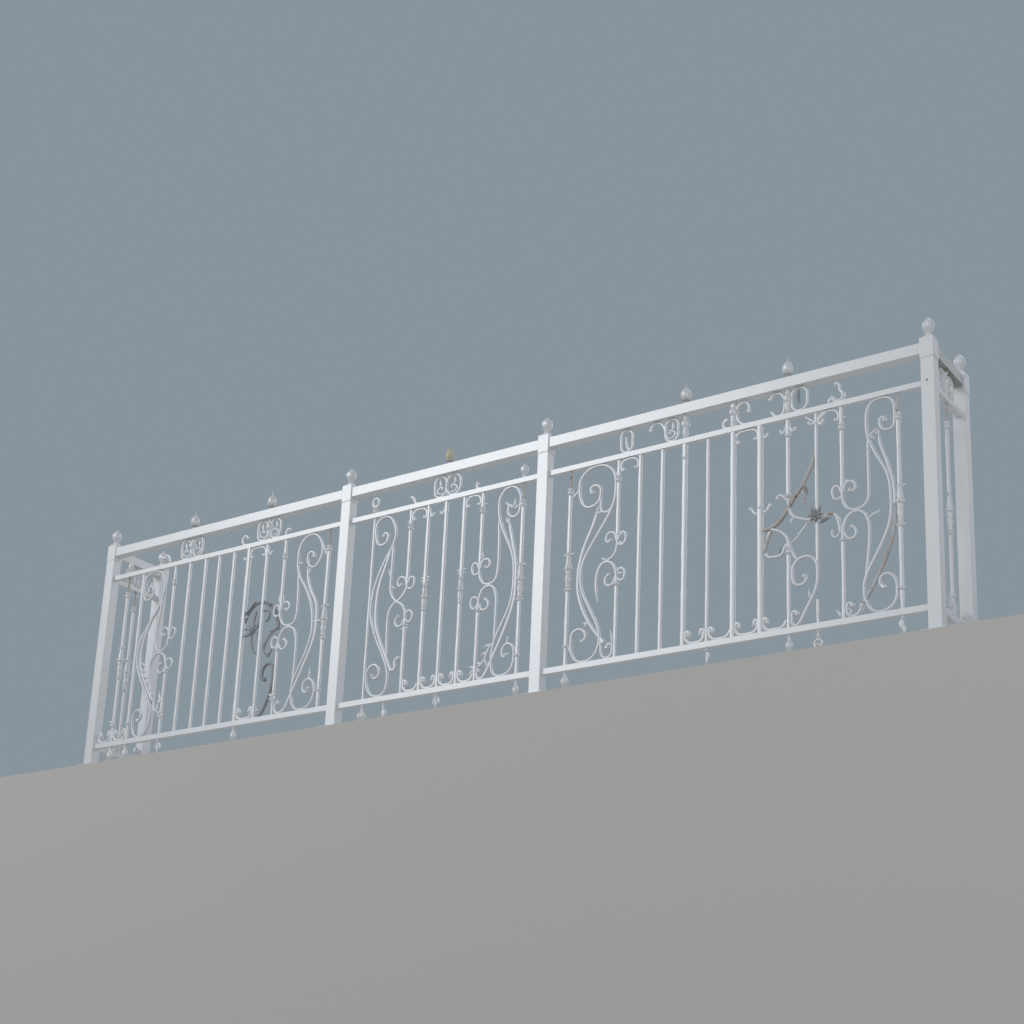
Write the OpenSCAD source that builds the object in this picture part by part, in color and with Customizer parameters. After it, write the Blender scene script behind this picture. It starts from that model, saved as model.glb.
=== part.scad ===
// Wrought iron balcony railing: three front bays and two short returns, with
// scroll groups at the bay ends, a scrolled band under the top rail and
// turned finials on the posts. X runs along the front, Y into the balcony and
// Z up. The origin is on the underside of the left corner post's base plate.

/* [Bays] */
// Length of the left front bay, between post centres
bay_one_len = 1415; // [1200:5:1700]
// Length of the middle front bay, between post centres
bay_two_len = 990; // [900:5:1300]
// Length of the right front bay, between post centres
bay_three_len = 1560; // [1400:5:1900]
// Length of each return, between post centres
return_len = 300; // [270:5:420]

/* [Heights] */
// Top of the top rail above the base
rail_top = 1050; // [1000:5:1150]
// Height of the band between the top rail and the sub rail
band_h = 98; // [85:1:120]
// Top of the bottom rail above the base
bottom_rail_top = 103; // [95:1:130]

/* [Sections] */
// Width of a post tube
post_w = 46; // [40:1:56]
// Width of the square top rail
top_rail_w = 40; // [30:1:44]
// Width of the square sub rail
sub_rail_w = 20; // [16:1:26]
// Width of the square bottom rail
bottom_rail_w = 22; // [18:1:28]
// Width of a plain bar
bar_w = 14; // [12:0.5:16]
// Width of a stout bar
stout_bar_w = 19; // [17:0.5:22]
// Width of the thin pin at the top of a knuckled bar
pin_w = 9; // [7:0.5:11]
// Thickness of scroll strip, across its curve
strip_t = 8; // [6:0.5:9]
// Depth of the main scroll strip, along Y
strip_d = 12; // [10:0.5:12]
// Depth of the lighter scroll strip, along Y
light_strip_d = 9; // [7:0.5:9.5]

/* [Layout] */
// Distance from the left corner post to the first knuckled bar
first_bar_off = 118; // [112:1:124]
// Distance from the left post of the left bay to the bar beside its scrolls
one_left_off = 213; // [206:1:220]
// Distance from the right post of the left bay to the bar beside its scrolls
one_right_off = 93; // [88:1:100]
// Distance from the left post of the middle bay to the bar beside its scrolls
two_left_off = 146; // [140:1:154]
// Distance from the right post of the middle bay to the bar beside its scrolls
two_right_off = 98; // [90:1:106]
// Distance from the left post of the right bay to the bar beside its scrolls
three_left_off = 121; // [114:1:128]
// Distance from the right post of the right bay to the bar beside its scrolls
three_right_off = 117; // [110:1:124]
// Width of the left scrolls of the left bay, between the centres of their bars
one_left_w = 202; // [196:1:212]
// Width of the right scrolls of the left bay, between the centres of their bars
one_right_w = 248; // [240:1:256]
// Width of the left scrolls of the middle bay, between the centres of their bars
two_left_w = 192; // [186:1:200]
// Width of the right scrolls of the middle bay, between the centres of their bars
two_right_w = 195; // [188:1:204]
// Width of the left scrolls of the right bay, between the centres of their bars
three_left_w = 214; // [206:1:222]
// Width of the right scrolls of the right bay, between the centres of their bars
three_right_w = 208; // [200:1:216]

/* [Post ends] */
// Width of a base plate
plate_w = 84; // [80:1:110]
// Thickness of a base plate
plate_t = 6; // [5:0.5:10]
// Diameter of an anchor hole
anchor_d = 9; // [7:0.5:11]
// Distance between the two anchor holes of a plate
anchor_pitch = 66; // [64:1:90]
// Amount by which a cap block is wider than its post
cap_step = 4; // [2:1:8]
// Height of a cap block below the top of the rail
cap_down = 62; // [54:1:80]
// Height of a cap block above the top of the rail
cap_up = 16; // [10:1:24]
// Height of the finial above its cap block
finial_h = 84; // [70:1:100]
// Largest diameter of the finial
finial_d = 44; // [36:1:48]

/* [Ornament] */
// Height of a foot scroll
foot_h = 62; // [52:1:75]
// Length of the turned knuckle on a bar
knuckle_h = 150; // [120:1:180]
// Largest diameter of the turned knuckle
knuckle_d = 30; // [24:1:34]
// Height of a bud on the top rail
bud_h = 72; // [60:1:90]
// Diameter of a bud
bud_d = 24; // [20:1:28]
// Length of a drop under the bottom rail
drop_h = 68; // [50:1:72]
// Width of an oval in the band
oval_w = 62; // [54:1:70]
// Radius of the rosette in the spray
rosette_r = 26; // [20:1:32]

/* [Hidden] */
$fn = 40;

// Clearance between pieces that are welded to each other
weld_gap = 0.3;
// Largest turn between two neighbouring points of an arc, in degrees
arc_step = 10;
// Depth to which a strip is fused into a bar of its own node
weld_sink = 2;
// Distance from a face to the centre line of a strip laid against it
edge = strip_t / 2 + weld_gap;
// Thickness of a thin strand and of a thick one
thin_t = strip_t * 0.7;
thick_t = strip_t * 1.3;

bottom_rail_under = bottom_rail_top - bottom_rail_w;
rail_under = rail_top - top_rail_w;
sub_rail_top = rail_under - band_h;
sub_rail_under = sub_rail_top - sub_rail_w;
panel_h = sub_rail_under - bottom_rail_top;
cap_w = post_w + cap_step;
cap_bottom = rail_top - cap_down;

// Post centres along the front
post_x = [
    0,
    bay_one_len,
    bay_one_len + bay_two_len,
    bay_one_len + bay_two_len + bay_three_len
];
front_len = post_x[3];

bay_len = [bay_one_len, bay_two_len, bay_three_len];
left_off = [one_left_off, two_left_off, three_left_off];
right_off = [one_right_off, two_right_off, three_right_off];
left_w = [one_left_w, two_left_w, three_left_w];
right_w = [one_right_w, two_right_w, three_right_w];

// Bars of a bay, as shares of the way from its left scroll bar to its right one
bar_share = [
    [0, 0.14, 0.285, 0.41, 0.545, 0.68, 0.84, 1],
    [0, 0.25, 0.5, 0.75, 1],
    [0, 0.105, 0.21, 0.315, 0.42, 0.535, 0.655, 0.775, 0.895, 1]
];

// A scroll is drawn from its post's centre and from the base, in millimetres of the
// real railing. These are the drawn heights of a strip on the bottom rail and of one
// under the sub rail.
drawn_low = 107;
drawn_high = 888;

// Height of a drawn point, with the sizes as they are set
function level(w) =
    bottom_rail_top + edge + (w - drawn_low) * (panel_h - 2 * edge) / (drawn_high - drawn_low);

knuckle_z = level(474);
// Drawn heights between which strands take the place of a scroll bar
waist = [390, 600];
// Collars that bind the loops to the bars
low_collar_z = level(180);
high_collar_z = level(796);

white = [0.90, 0.92, 0.94];
shade_white = [0.80, 0.83, 0.86];
dark_iron = [0.42, 0.42, 0.43];

// Strips: a route of corners, each rounded by an arc tangent to both sides

function cross2(u, v) = u.x * v.y - u.y * v.x;
function left_of(u) = [-u.y, u.x];
function side_len(p, k) = norm(p[k + 1] - p[k]);
function side_dir(p, k) = (p[k + 1] - p[k]) / side_len(p, k);
// Share of a side that one of its corners may use
function side_share(p, k) = side_len(p, k) * (k == 0 || k == len(p) - 2 ? 1 : 0.5);
// Length from a corner to where its arc starts
function corner_cut(p, i) = i == 0 || i == len(p) - 1
    ? 0
    : min(side_share(p, i - 1), side_share(p, i));
function corner_turn(p, i) =
    let (u = side_dir(p, i - 1), v = side_dir(p, i))
    atan2(cross2(u, v), u * v);
// Whether a straight stretch is left between the arcs at the ends of side k
function has_straight(p, k) = side_len(p, k) - corner_cut(p, k) - corner_cut(p, k + 1) > 0.01;

// Points of the arc that rounds corner i, on a line off to the left of the route
function corner_points(p, i, off) =
    let (
        u = side_dir(p, i - 1),
        cut = corner_cut(p, i),
        turn = corner_turn(p, i),
        side = sign(turn),
        r = cut / tan(abs(turn) / 2),
        centre = p[i] - u * cut + side * r * left_of(u),
        start = atan2(u.y, u.x) - side * 90,
        steps = max(2, ceil(abs(turn) / arc_step))
    )
    [for (j = [has_straight(p, i - 1) ? 0 : 1:steps])
        let (a = start + turn * j / steps)
        centre + (r - side * off) * [cos(a), sin(a)]];

// The whole line that runs beside a route, off to its left
function beside(p, off) =
    let (last = len(p) - 1)
    [
        p[0] + off * left_of(side_dir(p, 0)),
        for (i = [1:last - 1]) each corner_points(p, i, off),
        if (has_straight(p, last - 1)) p[last] + off * left_of(side_dir(p, last - 1))
    ];
function backwards(list) = [for (i = [len(list) - 1:-1:0]) list[i]];

// Stands a flat shape up in the XZ plane, d deep and centred on y = 0
module upright(d) {
    rotate([90, 0, 0]) linear_extrude(d, center = true) children();
}

// Strip along a whole route in the XZ plane
module strip(route, t = strip_t, d = strip_d) {
    upright(d) polygon(concat(beside(route, t / 2), backwards(beside(route, -t / 2))));
}

// Round button that ends a scroll, at a point of the XZ plane
module button(at, d = strip_d) {
    translate([at.x, 0, at.y]) rotate([90, 0, 0])
        cylinder(r = strip_t * 0.75, h = d + 2, center = true);
}

module scroll(route, d = strip_d) {
    strip(route, d = d);
    button(route[0], d);
}

// Turned forms: outlines of [height, radius] pairs, spun about Z

module turned(outline) {
    last = len(outline) - 1;
    rotate_extrude()
        polygon(concat(
            [[0, outline[0][0]]],
            [for (q = outline) [q[1], q[0]]],
            [[0, outline[last][0]]]
        ));
}

// Pointed bulb of height h and radius r, seated on radius foot
function bulb(h, r, foot) = [
    for (i = [0:12])
        let (f = i / 12)
        [h * f, foot * pow(1 - f, 2) + r * sin(180 * pow(f, 0.75)) * (1 - 0.12 * f)]
];

// Bud: collar, waist and pointed bulb, standing on z = 0
module bud(h, d) {
    collar_h = h * 0.12;
    waist_h = h * 0.1;
    cylinder(d = d * 0.8, h = collar_h);
    cylinder(d = d * 0.45, h = collar_h + waist_h + 2);
    translate([0, 0, collar_h + waist_h])
        turned(bulb(h - collar_h - waist_h, d / 2, d * 0.2));
}

// Drop: ball, neck and pointed bulb, hanging below z = 0
module drop() {
    mirror([0, 0, 1]) bud(drop_h, bud_d);
}

// Turned knuckle: a ring between two vases, centred on z = 0
module knuckle() {
    third = knuckle_h / 3;
    r = knuckle_d / 2;
    waist = bar_w * 0.55;
    vase = [
        [0, waist], [third * 0.25, waist * 1.1], [third * 0.6, r * 0.9],
        [third * 0.85, r], [third, r * 0.72]
    ];
    for (s = [0, 1])
        mirror([0, 0, s]) translate([0, 0, third / 2]) {
            mirror([0, 0, 1]) translate([0, 0, -third]) turned(vase);
        }
    cylinder(r = r, h = third * 0.3, center = true);
    cylinder(r = r * 0.75, h = third, center = true);
}

// Posts

module post_body(at) {
    color(white) translate(at) {
        difference() {
            translate([-plate_w / 2, -plate_w / 2, 0]) cube([plate_w, plate_w, plate_t]);
            for (s = [-1, 1])
                translate([s * anchor_pitch / 2, 0, -1]) cylinder(d = anchor_d, h = plate_t + 2);
        }
        translate([-post_w / 2, -post_w / 2, plate_t])
            cube([post_w, post_w, cap_bottom - plate_t]);
    }
}

// Four-sided slope from width a up to width b
module shoulder(a, b, h) {
    outline = [[-a / 2, 0], [a / 2, 0], [b / 2, h], [-b / 2, h]];
    intersection() {
        rotate([90, 0, 0]) linear_extrude(a, center = true) polygon(outline);
        rotate([90, 0, 90]) linear_extrude(a, center = true) polygon(outline);
    }
}

module finial_body(at) {
    neck_w = cap_w * 0.5;
    shoulder_h = finial_h * 0.14;
    ring_h = finial_h * 0.12;
    bulb_h = finial_h - shoulder_h - ring_h;
    color(white) translate(at) {
        translate([-cap_w / 2, -cap_w / 2, cap_bottom]) cube([cap_w, cap_w, cap_down + cap_up]);
        translate([0, 0, rail_top + cap_up]) {
            shoulder(cap_w, neck_w, shoulder_h);
            translate([0, 0, shoulder_h - 1]) cylinder(d = neck_w * 0.9, h = ring_h + 3);
            translate([0, 0, shoulder_h + ring_h])
                turned(bulb(bulb_h, finial_d / 2, finial_d * 0.22));
        }
    }
}

// Rails: square tubes between faces, as solids of the outer section

module front_rail(bay, w, top, face_w) {
    a = post_x[bay] + face_w / 2;
    b = post_x[bay + 1] - face_w / 2;
    color(white) translate([a, -w / 2, top - w]) cube([b - a, w, w]);
}

module return_rail(x, w, top, face_w) {
    a = face_w / 2;
    b = return_len - face_w / 2;
    color(white) translate([x - w / 2, a, top - w]) cube([w, b - a, w]);
}

// Bars

// Distance from a bay's left post to its scroll bars and to the bars between them
function left_scroll_x(bay) = left_off[bay] + left_w[bay];
function right_scroll_x(bay) = bay_len[bay] - right_off[bay] - right_w[bay];
function bar_x(bay, k) =
    left_scroll_x(bay) + bar_share[bay][k] * (right_scroll_x(bay) - left_scroll_x(bay));

// Square bar between two heights
module bar(x, w = bar_w, low = bottom_rail_top, high = sub_rail_under) {
    translate([x - w / 2, -w / 2, low]) cube([w, w, high - low]);
}

// Bar with a turned knuckle
module knuckled_bar(x) {
    bar(x);
    translate([x, 0, knuckle_z]) knuckle();
}

// Bar beside a post, whose last length under the sub rail is a thin pin
module pinned_bar(x) {
    bar(x, high = high_collar_z);
    bar(x, pin_w, low = high_collar_z);
    translate([x, 0, knuckle_z]) knuckle();
}

// Bar that is broken between two drawn heights
module broken_bar(x, open) {
    bar(x, high = level(open[0]) - weld_gap);
    bar(x, low = level(open[1]) + weld_gap);
}

// Feet stand on the bottom rail in the space between two bars. The route of a curl that
// climbs the left side of the space and turns back in, from its eye to the rail:
foot_near = edge - weld_sink;
foot_eye = foot_h * 0.42;
foot_curl = [
    [foot_near + foot_eye, foot_h - foot_eye], [foot_near + foot_eye, foot_h],
    [foot_near, foot_h], [foot_near, edge]
];

// Curl alone, running out on the rail
module left_curl() {
    translate([0, 0, bottom_rail_top])
        scroll(concat(foot_curl, [[foot_near + foot_eye, edge]]), light_strip_d);
}

// Scroll across a space w wide, curled at both of its ends or at the left one
module foot_scroll(w, both = true) {
    far = w - foot_near;
    right = both
        ? [for (p = backwards(foot_curl)) [w - p.x, p.y]]
        : [[far - foot_h / 3, edge], [far, foot_h / 2]];
    translate([0, 0, bottom_rail_top]) {
        scroll(concat(foot_curl, right), light_strip_d);
        if (both) button(right[3], light_strip_d);
    }
}

// The space to the right of bar k in a bay
module in_space(bay, k) {
    translate([bar_x(bay, k) + bar_w / 2, 0, 0]) children();
}
function space_w(bay, k) = bar_x(bay, k + 1) - bar_x(bay, k) - bar_w;

// What hangs from the sub rail is drawn as if it stood on the bottom rail
module hung() {
    translate([0, 0, bottom_rail_top + sub_rail_under]) mirror([0, 0, 1]) children();
}

// Two petals that spring from a bar's sides, seated on its middle
module petals(x, z) {
    reach = 24;
    near = bar_w / 2 - weld_sink;
    for (s = [0, 1])
        translate([x, 0, z]) mirror([s, 0, 0])
            strip([[near, 0], [reach * 0.7, 0], [reach, reach * 0.6]], thin_t, light_strip_d - 2);
}

// Plain ring round a bar
module ring(x, z) {
    translate([x, 0, z - strip_t / 2]) cylinder(d = bar_w * 1.7, h = strip_t);
}

// Bars of a bay with their ornaments. Each list names bars by their number in bar_share,
// or the spaces to their right; broken and petalled also give drawn heights.
module bay_bars(bay, stout = [], knuckled = [], broken = [], full_feet = [], half_feet = [],
        heads = [], curls = [], petalled = []) {
    last = len(bar_share[bay]) - 1;
    open = concat([[0, waist], [last, waist]], broken);
    color(white) translate([post_x[bay], 0, 0]) {
        for (q = open) broken_bar(bar_x(bay, q[0]), q[1]);
        for (k = [0:last])
            if (len(search(k, knuckled)) > 0) knuckled_bar(bar_x(bay, k));
            else if (len(search(k, stout)) > 0) bar(bar_x(bay, k), stout_bar_w);
            else if (len([for (q = open) if (q[0] == k) k]) == 0) bar(bar_x(bay, k));
        for (k = full_feet) in_space(bay, k) foot_scroll(space_w(bay, k));
        for (k = half_feet) in_space(bay, k) foot_scroll(space_w(bay, k), both = false);
        for (k = heads) hung() in_space(bay, k) foot_scroll(space_w(bay, k));
        for (k = curls) hung() in_space(bay, k) {
            left_curl();
            translate([space_w(bay, k), 0, 0]) mirror([1, 0, 0]) left_curl();
        }
        for (q = petalled) petals(bar_x(bay, q[0]), level(q[1]));
        children();
    }
}

// Scroll groups: every strand is a route drawn on the railing's front, with u from the
// centre of the group's post and w above the base. A route is fitted to the space
// between the group's two bars.

// Scroll group of one bay end: its bars' distances from the post, and the drawn
// distances of strips that touch them
function group(bay, right, drawn) =
    let (off = right ? right_off[bay] : left_off[bay], w = right ? right_w[bay] : left_w[bay])
    [off, off + w, drawn];

// Drawn point, fitted: strands also keep clear of the knuckle
function fitted_point(g, p) =
    let (
        near = g[0] + bar_w / 2 + edge,
        far = g[1] - bar_w / 2 - edge,
        u = near + (p.x - g[2][0]) * (far - near) / (g[2][1] - g[2][0]),
        z = level(p.y),
        by_knuckle = abs(z - knuckle_z) < knuckle_h / 2 + 2 * strip_t
    )
    [max(u, by_knuckle ? g[0] + knuckle_d / 2 + edge : 0), z];
function fitted(g, route) = [for (p = route) fitted_point(g, p)];

// Strand of a group, with a button where it ends in an eye
module strand(g, route, d = light_strip_d, eyes = [0]) {
    line = fitted(g, route);
    strip(line, d = d);
    for (k = eyes) button(line[k < 0 ? len(line) - 1 : k], d);
}

// Leaf that springs from a strand: a flat blade w wide between two drawn points
module leaf(g, from, to, w = 12) {
    steps = 6;
    a = fitted_point(g, from);
    b = fitted_point(g, to);
    across = left_of(b - a) / norm(b - a);
    function rim(side, k) = a + (b - a) * k / steps
        + side * across * w / 2 * sin(180 * pow(k / steps, 0.8));
    upright(light_strip_d - 3)
        polygon(concat([for (k = [0:steps]) rim(1, k)], [for (k = [steps - 1:-1:1]) rim(-1, k)]));
}

// Collar that binds the strip beside a bar to it
module binding(off, z) {
    wall = 3;
    h = 9;
    slot = bar_w + 2 * weld_gap;
    translate([off - slot / 2, 0, z - h / 2]) difference() {
        translate([-wall, -slot / 2 - wall, 0]) cube([slot + strip_t + 2 * wall, slot + 2 * wall, h]);
        translate([0, -slot / 2, -1]) cube([slot, slot, h + 2]);
    }
}

// Curls and rings at the waist: far is the drawn distance of the scroll bar's centre
module waist_curls(g, far, low_ring = true) {
    strand(g, [[far - 3, 560], [far - 8, 600], [far - 44, 606], [far - 52, 568], [far - 28, 558],
        [far - 28, 578]], eyes = [-1]);
    strand(g, [[far, 560], [far + 16, 600], [far + 38, 590], [far + 34, 548], [far + 12, 540],
        [far, 556]], eyes = []);
    strand(g, [[far - 2, 424], [far - 16, 388], [far - 48, 390], [far - 52, 428],
        [far - 26, 436]], eyes = [-1]);
    if (low_ring)
        strand(g, [[far, 436], [far + 16, 458], [far + 38, 440], [far + 32, 402],
            [far + 12, 400], [far, 420]], eyes = []);
}

module one_left_strands() {
    g = group(0, false, [224, 404]);
    strand(g, [[264, 788], [252, 802], [262, 822], [288, 812], [290, 762], [236, 750], [224, 800], [224, 860],
        [255, 888], [330, 888], [358, 830], [356, 760], [325, 695], [255, 605], [228, 530], [226, 460],
        [255, 390], [340, 255], [352, 190], [325, 107], [262, 107], [240, 150], [240, 215], [268, 238],
        [292, 220], [290, 184], [262, 182]], d = strip_d, eyes = [0, -1]);
    strand(g, [[344, 742], [285, 640], [252, 560], [246, 480], [256, 430], [300, 340], [352, 262], [372, 212],
        [392, 212], [388, 244], [404, 262]], eyes = []);
    strand(g, [[352, 770], [344, 680], [333, 600], [333, 530], [352, 494], [396, 494],
        [415, 530], [415, 600]], eyes = []);
    strand(g, [[415, 390], [415, 430], [392, 487], [336, 487], [312, 445], [318, 370],
        [345, 275], [384, 196]], eyes = []);
    for (q = [[[250, 398], [244, 344]], [[274, 358], [268, 300]], [[298, 322], [294, 266]],
            [[270, 392], [300, 346]], [[302, 336], [330, 292]], [[260, 815], [290, 840]]])
        leaf(g, q[0], q[1]);
    waist_curls(g, 415);
}

module one_right_strands() {
    g = group(0, true, [104, 330]);
    strand(g, [[180, 776], [168, 792], [186, 812], [210, 800], [206, 750], [165, 726], [130, 770], [126, 830],
        [165, 888], [225, 888], [262, 840], [262, 725], [205, 650], [165, 560], [154, 490], [154, 430],
        [180, 350], [236, 245], [248, 180], [222, 107], [150, 107], [116, 150], [116, 205], [145, 242],
        [180, 225], [180, 178], [146, 176], [150, 204]], d = strip_d, eyes = [0, -1]);
    strand(g, [[206, 748], [200, 670], [140, 570], [134, 500], [134, 440], [150, 380], [210, 250], [280, 107],
        [330, 107], [330, 152], [300, 156]], eyes = [-1]);
    strand(g, [[256, 748], [247, 640], [245, 540], [255, 494], [312, 492], [341, 530],
        [341, 600]], eyes = []);
    strand(g, [[341, 390], [341, 430], [318, 486], [258, 486], [238, 430], [235, 300],
        [244, 200]], eyes = []);
    strand(g, [[130, 834], [114, 800], [104, 776]], eyes = []);
    strand(g, [[104, 182], [118, 170]], eyes = []);
    for (q = [[[206, 700], [186, 738]], [[146, 230], [146, 284]], [[262, 775], [228, 766]]])
        leaf(g, q[0], q[1], 10);
    waist_curls(g, 341);
}

module two_left_strands() {
    g = group(1, false, [157, 327]);
    strand(g, [[204, 792], [200, 818], [224, 812], [224, 768], [176, 758], [157, 810], [157, 858], [184, 888],
        [228, 888], [266, 830], [262, 760], [206, 680], [166, 575], [157, 510], [157, 460], [185, 375],
        [250, 250], [270, 190], [258, 107], [190, 107], [157, 160], [157, 225], [190, 250], [222, 230],
        [222, 184], [186, 184], [190, 208]], d = strip_d, eyes = [0, -1]);
    strand(g, [[256, 768], [230, 690], [190, 585], [182, 500], [186, 415], [215, 340], [252, 270], [280, 206],
        [302, 206], [297, 246], [312, 262], [320, 244]], eyes = []);
    strand(g, [[256, 775], [254, 620], [252, 550], [275, 508], [325, 480], [338, 440],
        [338, 390]], eyes = []);
    strand(g, [[338, 600], [338, 545], [310, 508], [262, 488], [247, 440], [250, 350], [257, 235]],
        d = light_strip_d - 1, eyes = []);
    leaf(g, [254, 612], [238, 650], 10);
    waist_curls(g, 338);
}

module two_right_strands() {
    g = group(1, true, [109, 282]);
    strand(g, [[150, 788], [140, 808], [168, 808], [168, 760], [118, 752], [109, 800], [109, 850], [138, 888],
        [180, 888], [212, 850], [212, 770], [180, 690], [140, 610], [128, 545], [128, 450], [140, 385],
        [205, 262], [220, 200], [212, 107], [140, 107], [112, 145], [112, 215], [140, 238], [168, 220],
        [168, 178], [142, 180], [146, 198]], d = strip_d, eyes = [0, -1]);
    strand(g, [[166, 762], [140, 650], [118, 560], [118, 420], [140, 345], [185, 240], [240, 130], [258, 107],
        [282, 107], [282, 146], [264, 146]], eyes = [-1]);
    strand(g, [[211, 762], [204, 680], [203, 560], [210, 510], [230, 494], [268, 494],
        [293, 530], [293, 600]], eyes = []);
    strand(g, [[293, 390], [293, 440], [270, 488], [224, 488], [206, 440], [206, 300],
        [210, 235]], eyes = []);
    strand(g, [[214, 248], [240, 215], [252, 172], [282, 156]], d = light_strip_d - 1, eyes = []);
    for (q = [[[146, 800], [138, 838]], [[160, 806], [184, 832]], [[222, 238], [256, 234]],
            [[242, 208], [268, 200]], [[250, 184], [240, 152]]])
        leaf(g, q[0], q[1]);
    waist_curls(g, 293);
}

module three_left_strands() {
    g = group(2, false, [132, 324]);
    strand(g, [[230, 778], [212, 778], [212, 808], [258, 808], [258, 728], [185, 720], [162, 780], [162, 850],
        [210, 888], [280, 888], [324, 840], [324, 740], [300, 680], [215, 555], [178, 490], [178, 400],
        [215, 325], [262, 235], [272, 170], [240, 107], [170, 107], [144, 150], [144, 225], [175, 243],
        [208, 225], [208, 186], [184, 186]], d = strip_d, eyes = [0, -1]);
    strand(g, [[250, 726], [236, 660], [190, 570], [166, 480], [166, 390], [185, 325],
        [225, 245], [292, 162]], eyes = []);
    strand(g, [[273, 180], [278, 107], [324, 107], [324, 160], [300, 164], [300, 138]],
        d = light_strip_d - 1, eyes = [-1]);
    strand(g, [[258, 770], [258, 696], [290, 684], [314, 712]], d = light_strip_d - 1, eyes = []);
    strand(g, [[335, 600], [335, 545], [325, 505], [290, 490]], eyes = []);
    strand(g, [[256, 330], [247, 380], [247, 440], [268, 487], [312, 487], [335, 440],
        [335, 390]], eyes = []);
    strand(g, [[132, 778], [146, 786], [164, 812]], eyes = []);
    strand(g, [[132, 178], [147, 148]], eyes = []);
    for (q = [[[320, 158], [312, 214]], [[246, 700], [274, 692]], [[216, 262], [190, 262]]])
        leaf(g, q[0], q[1], 10);
    waist_curls(g, 335);
}

module three_right_strands() {
    g = group(2, true, [128, 314]);
    strand(g, [[166, 792], [162, 816], [184, 816], [182, 766], [132, 762], [128, 800], [128, 860], [150, 888],
        [208, 888], [232, 850], [232, 760], [206, 695], [156, 600], [148, 540], [148, 440], [172, 372],
        [240, 250], [252, 212], [250, 160], [222, 107], [168, 107], [134, 140], [134, 212], [160, 242],
        [194, 236], [194, 190], [172, 190]], d = strip_d, eyes = [0, -1]);
    strand(g, [[186, 772], [190, 735], [158, 645], [138, 560], [138, 420], [160, 330], [205, 228], [262, 140],
        [276, 107], [314, 107], [314, 158], [296, 158], [296, 138]], eyes = [-1]);
    strand(g, [[228, 762], [227, 640], [227, 520], [250, 493], [300, 493], [325, 530],
        [325, 600]], eyes = []);
    strand(g, [[325, 390], [325, 440], [300, 487], [250, 487], [227, 440], [228, 370],
        [236, 290], [247, 215]], eyes = []);
    strand(g, [[229, 446], [218, 468], [200, 464]], d = light_strip_d - 1, eyes = [-1]);
    leaf(g, [228, 760], [200, 738], 11);
    waist_curls(g, 325, low_ring = false);
}

// Collars of a group, on the bar beside its post
module bindings(off) {
    binding(off, high_collar_z - 8);
    binding(off, low_collar_z);
}

// Places a group that is drawn from its left post or, turned round, from its right one
module at_left_post(bay) {
    color(shade_white) translate([post_x[bay], 0, 0]) children();
}
module at_right_post(bay) {
    color(shade_white) translate([post_x[bay + 1], 0, 0]) mirror([1, 0, 0]) children();
}

// Band between the sub rail and the top rail

// Upright oval between two sides, a bottom and a top
module oval(left, right, low, high) {
    r = (right - left) / 2;
    polygon(concat(
        [for (a = [0:arc_step:180]) [left + r + r * cos(a), high - r + r * sin(a)]],
        [for (a = [180:arc_step:360]) [left + r + r * cos(a), low + r + r * sin(a)]]
    ));
}

// Oval ring standing in the band, its left side at x
module band_oval(x) {
    low = weld_gap + strip_t;
    difference() {
        upright(light_strip_d) oval(x, x + oval_w, weld_gap, band_h - weld_gap);
        upright(light_strip_d + 2)
            oval(x + strip_t, x + oval_w - strip_t, low, band_h - low);
    }
}

// Stub of a bar through the band, with a vase
module band_stub(x, w = bar_w) {
    translate([x, 0, 0]) {
        translate([-w / 2, -w / 2, 0]) cube([w, w, band_h]);
        translate([0, 0, band_h * 0.2]) turned(bulb(band_h * 0.6, w * 0.75, w * 0.5));
    }
}

// Bud that ends a knuckled bar in the band
module band_bud(x) {
    translate([x, 0, 0]) bud(band_h * 0.68, bud_d * 0.85);
}

// Ovals on both sides of a stub that stands over a bar
module oval_pair(x) {
    band_stub(x);
    band_oval(x - bar_w / 2 - oval_w + 1);
    band_oval(x + bar_w / 2 - 1);
}

// Small curl that rises from the sub rail beside x
module band_curl(x) {
    h = band_h * 0.42;
    translate([x, 0, 0])
        scroll([[4, h - 12], [0, h], [18, h], [22, edge], [38, edge]], light_strip_d);
}

// Hook that hangs from the top rail beside x and runs out on the sub rail
module band_hook(x) {
    top = band_h - edge;
    translate([x, 0, 0])
        strip([[0, top - 36], [6, top], [48, top], [64, top / 2], [74, edge], [104, edge]],
            d = light_strip_d - 1);
}

// Open C that starts under the top rail beside x and runs out on the sub rail
module band_question(x) {
    top = band_h - 2 * strip_t;
    translate([x, 0, 0])
        strip([[44, top - 42], [48, top], [0, top], [0, 26], [12, edge], [50, edge]], d = light_strip_d);
}

module band(bay, low_bud = true) {
    color(white) translate([post_x[bay], 0, sub_rail_top]) {
        if (low_bud) band_bud(left_off[bay]);
        band_bud(bay_len[bay] - right_off[bay]);
        children();
    }
}

// Panel of a return: one knuckled bar with a foot scroll on each side and ovals over it
module return_panel() {
    mid = return_len / 2;
    knuckled_bar(mid);
    span = (return_len - post_w - bar_w) / 2 - weld_gap - weld_sink;
    for (s = [0, 1])
        translate([mid, 0, 0]) mirror([s, 0, 0]) translate([bar_w / 2, 0, 0]) foot_scroll(span);
    translate([0, 0, sub_rail_top]) oval_pair(mid);
}

// Sprays: strands that grow between the bars of a bay, drawn from its left post. A spray
// is its bay, the bars at its two sides and the drawn distances of those bars.
left_spray = [0, 5, 7, 863, 1074];
right_spray = [2, 6, 9, 924, 1235];

function spray_point(s, p) =
    let (first = bar_x(s[0], s[1]), last = bar_x(s[0], s[2]))
    [first + (p.x - s[3]) * (last - first) / (s[4] - s[3]), level(p.y)];

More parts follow.
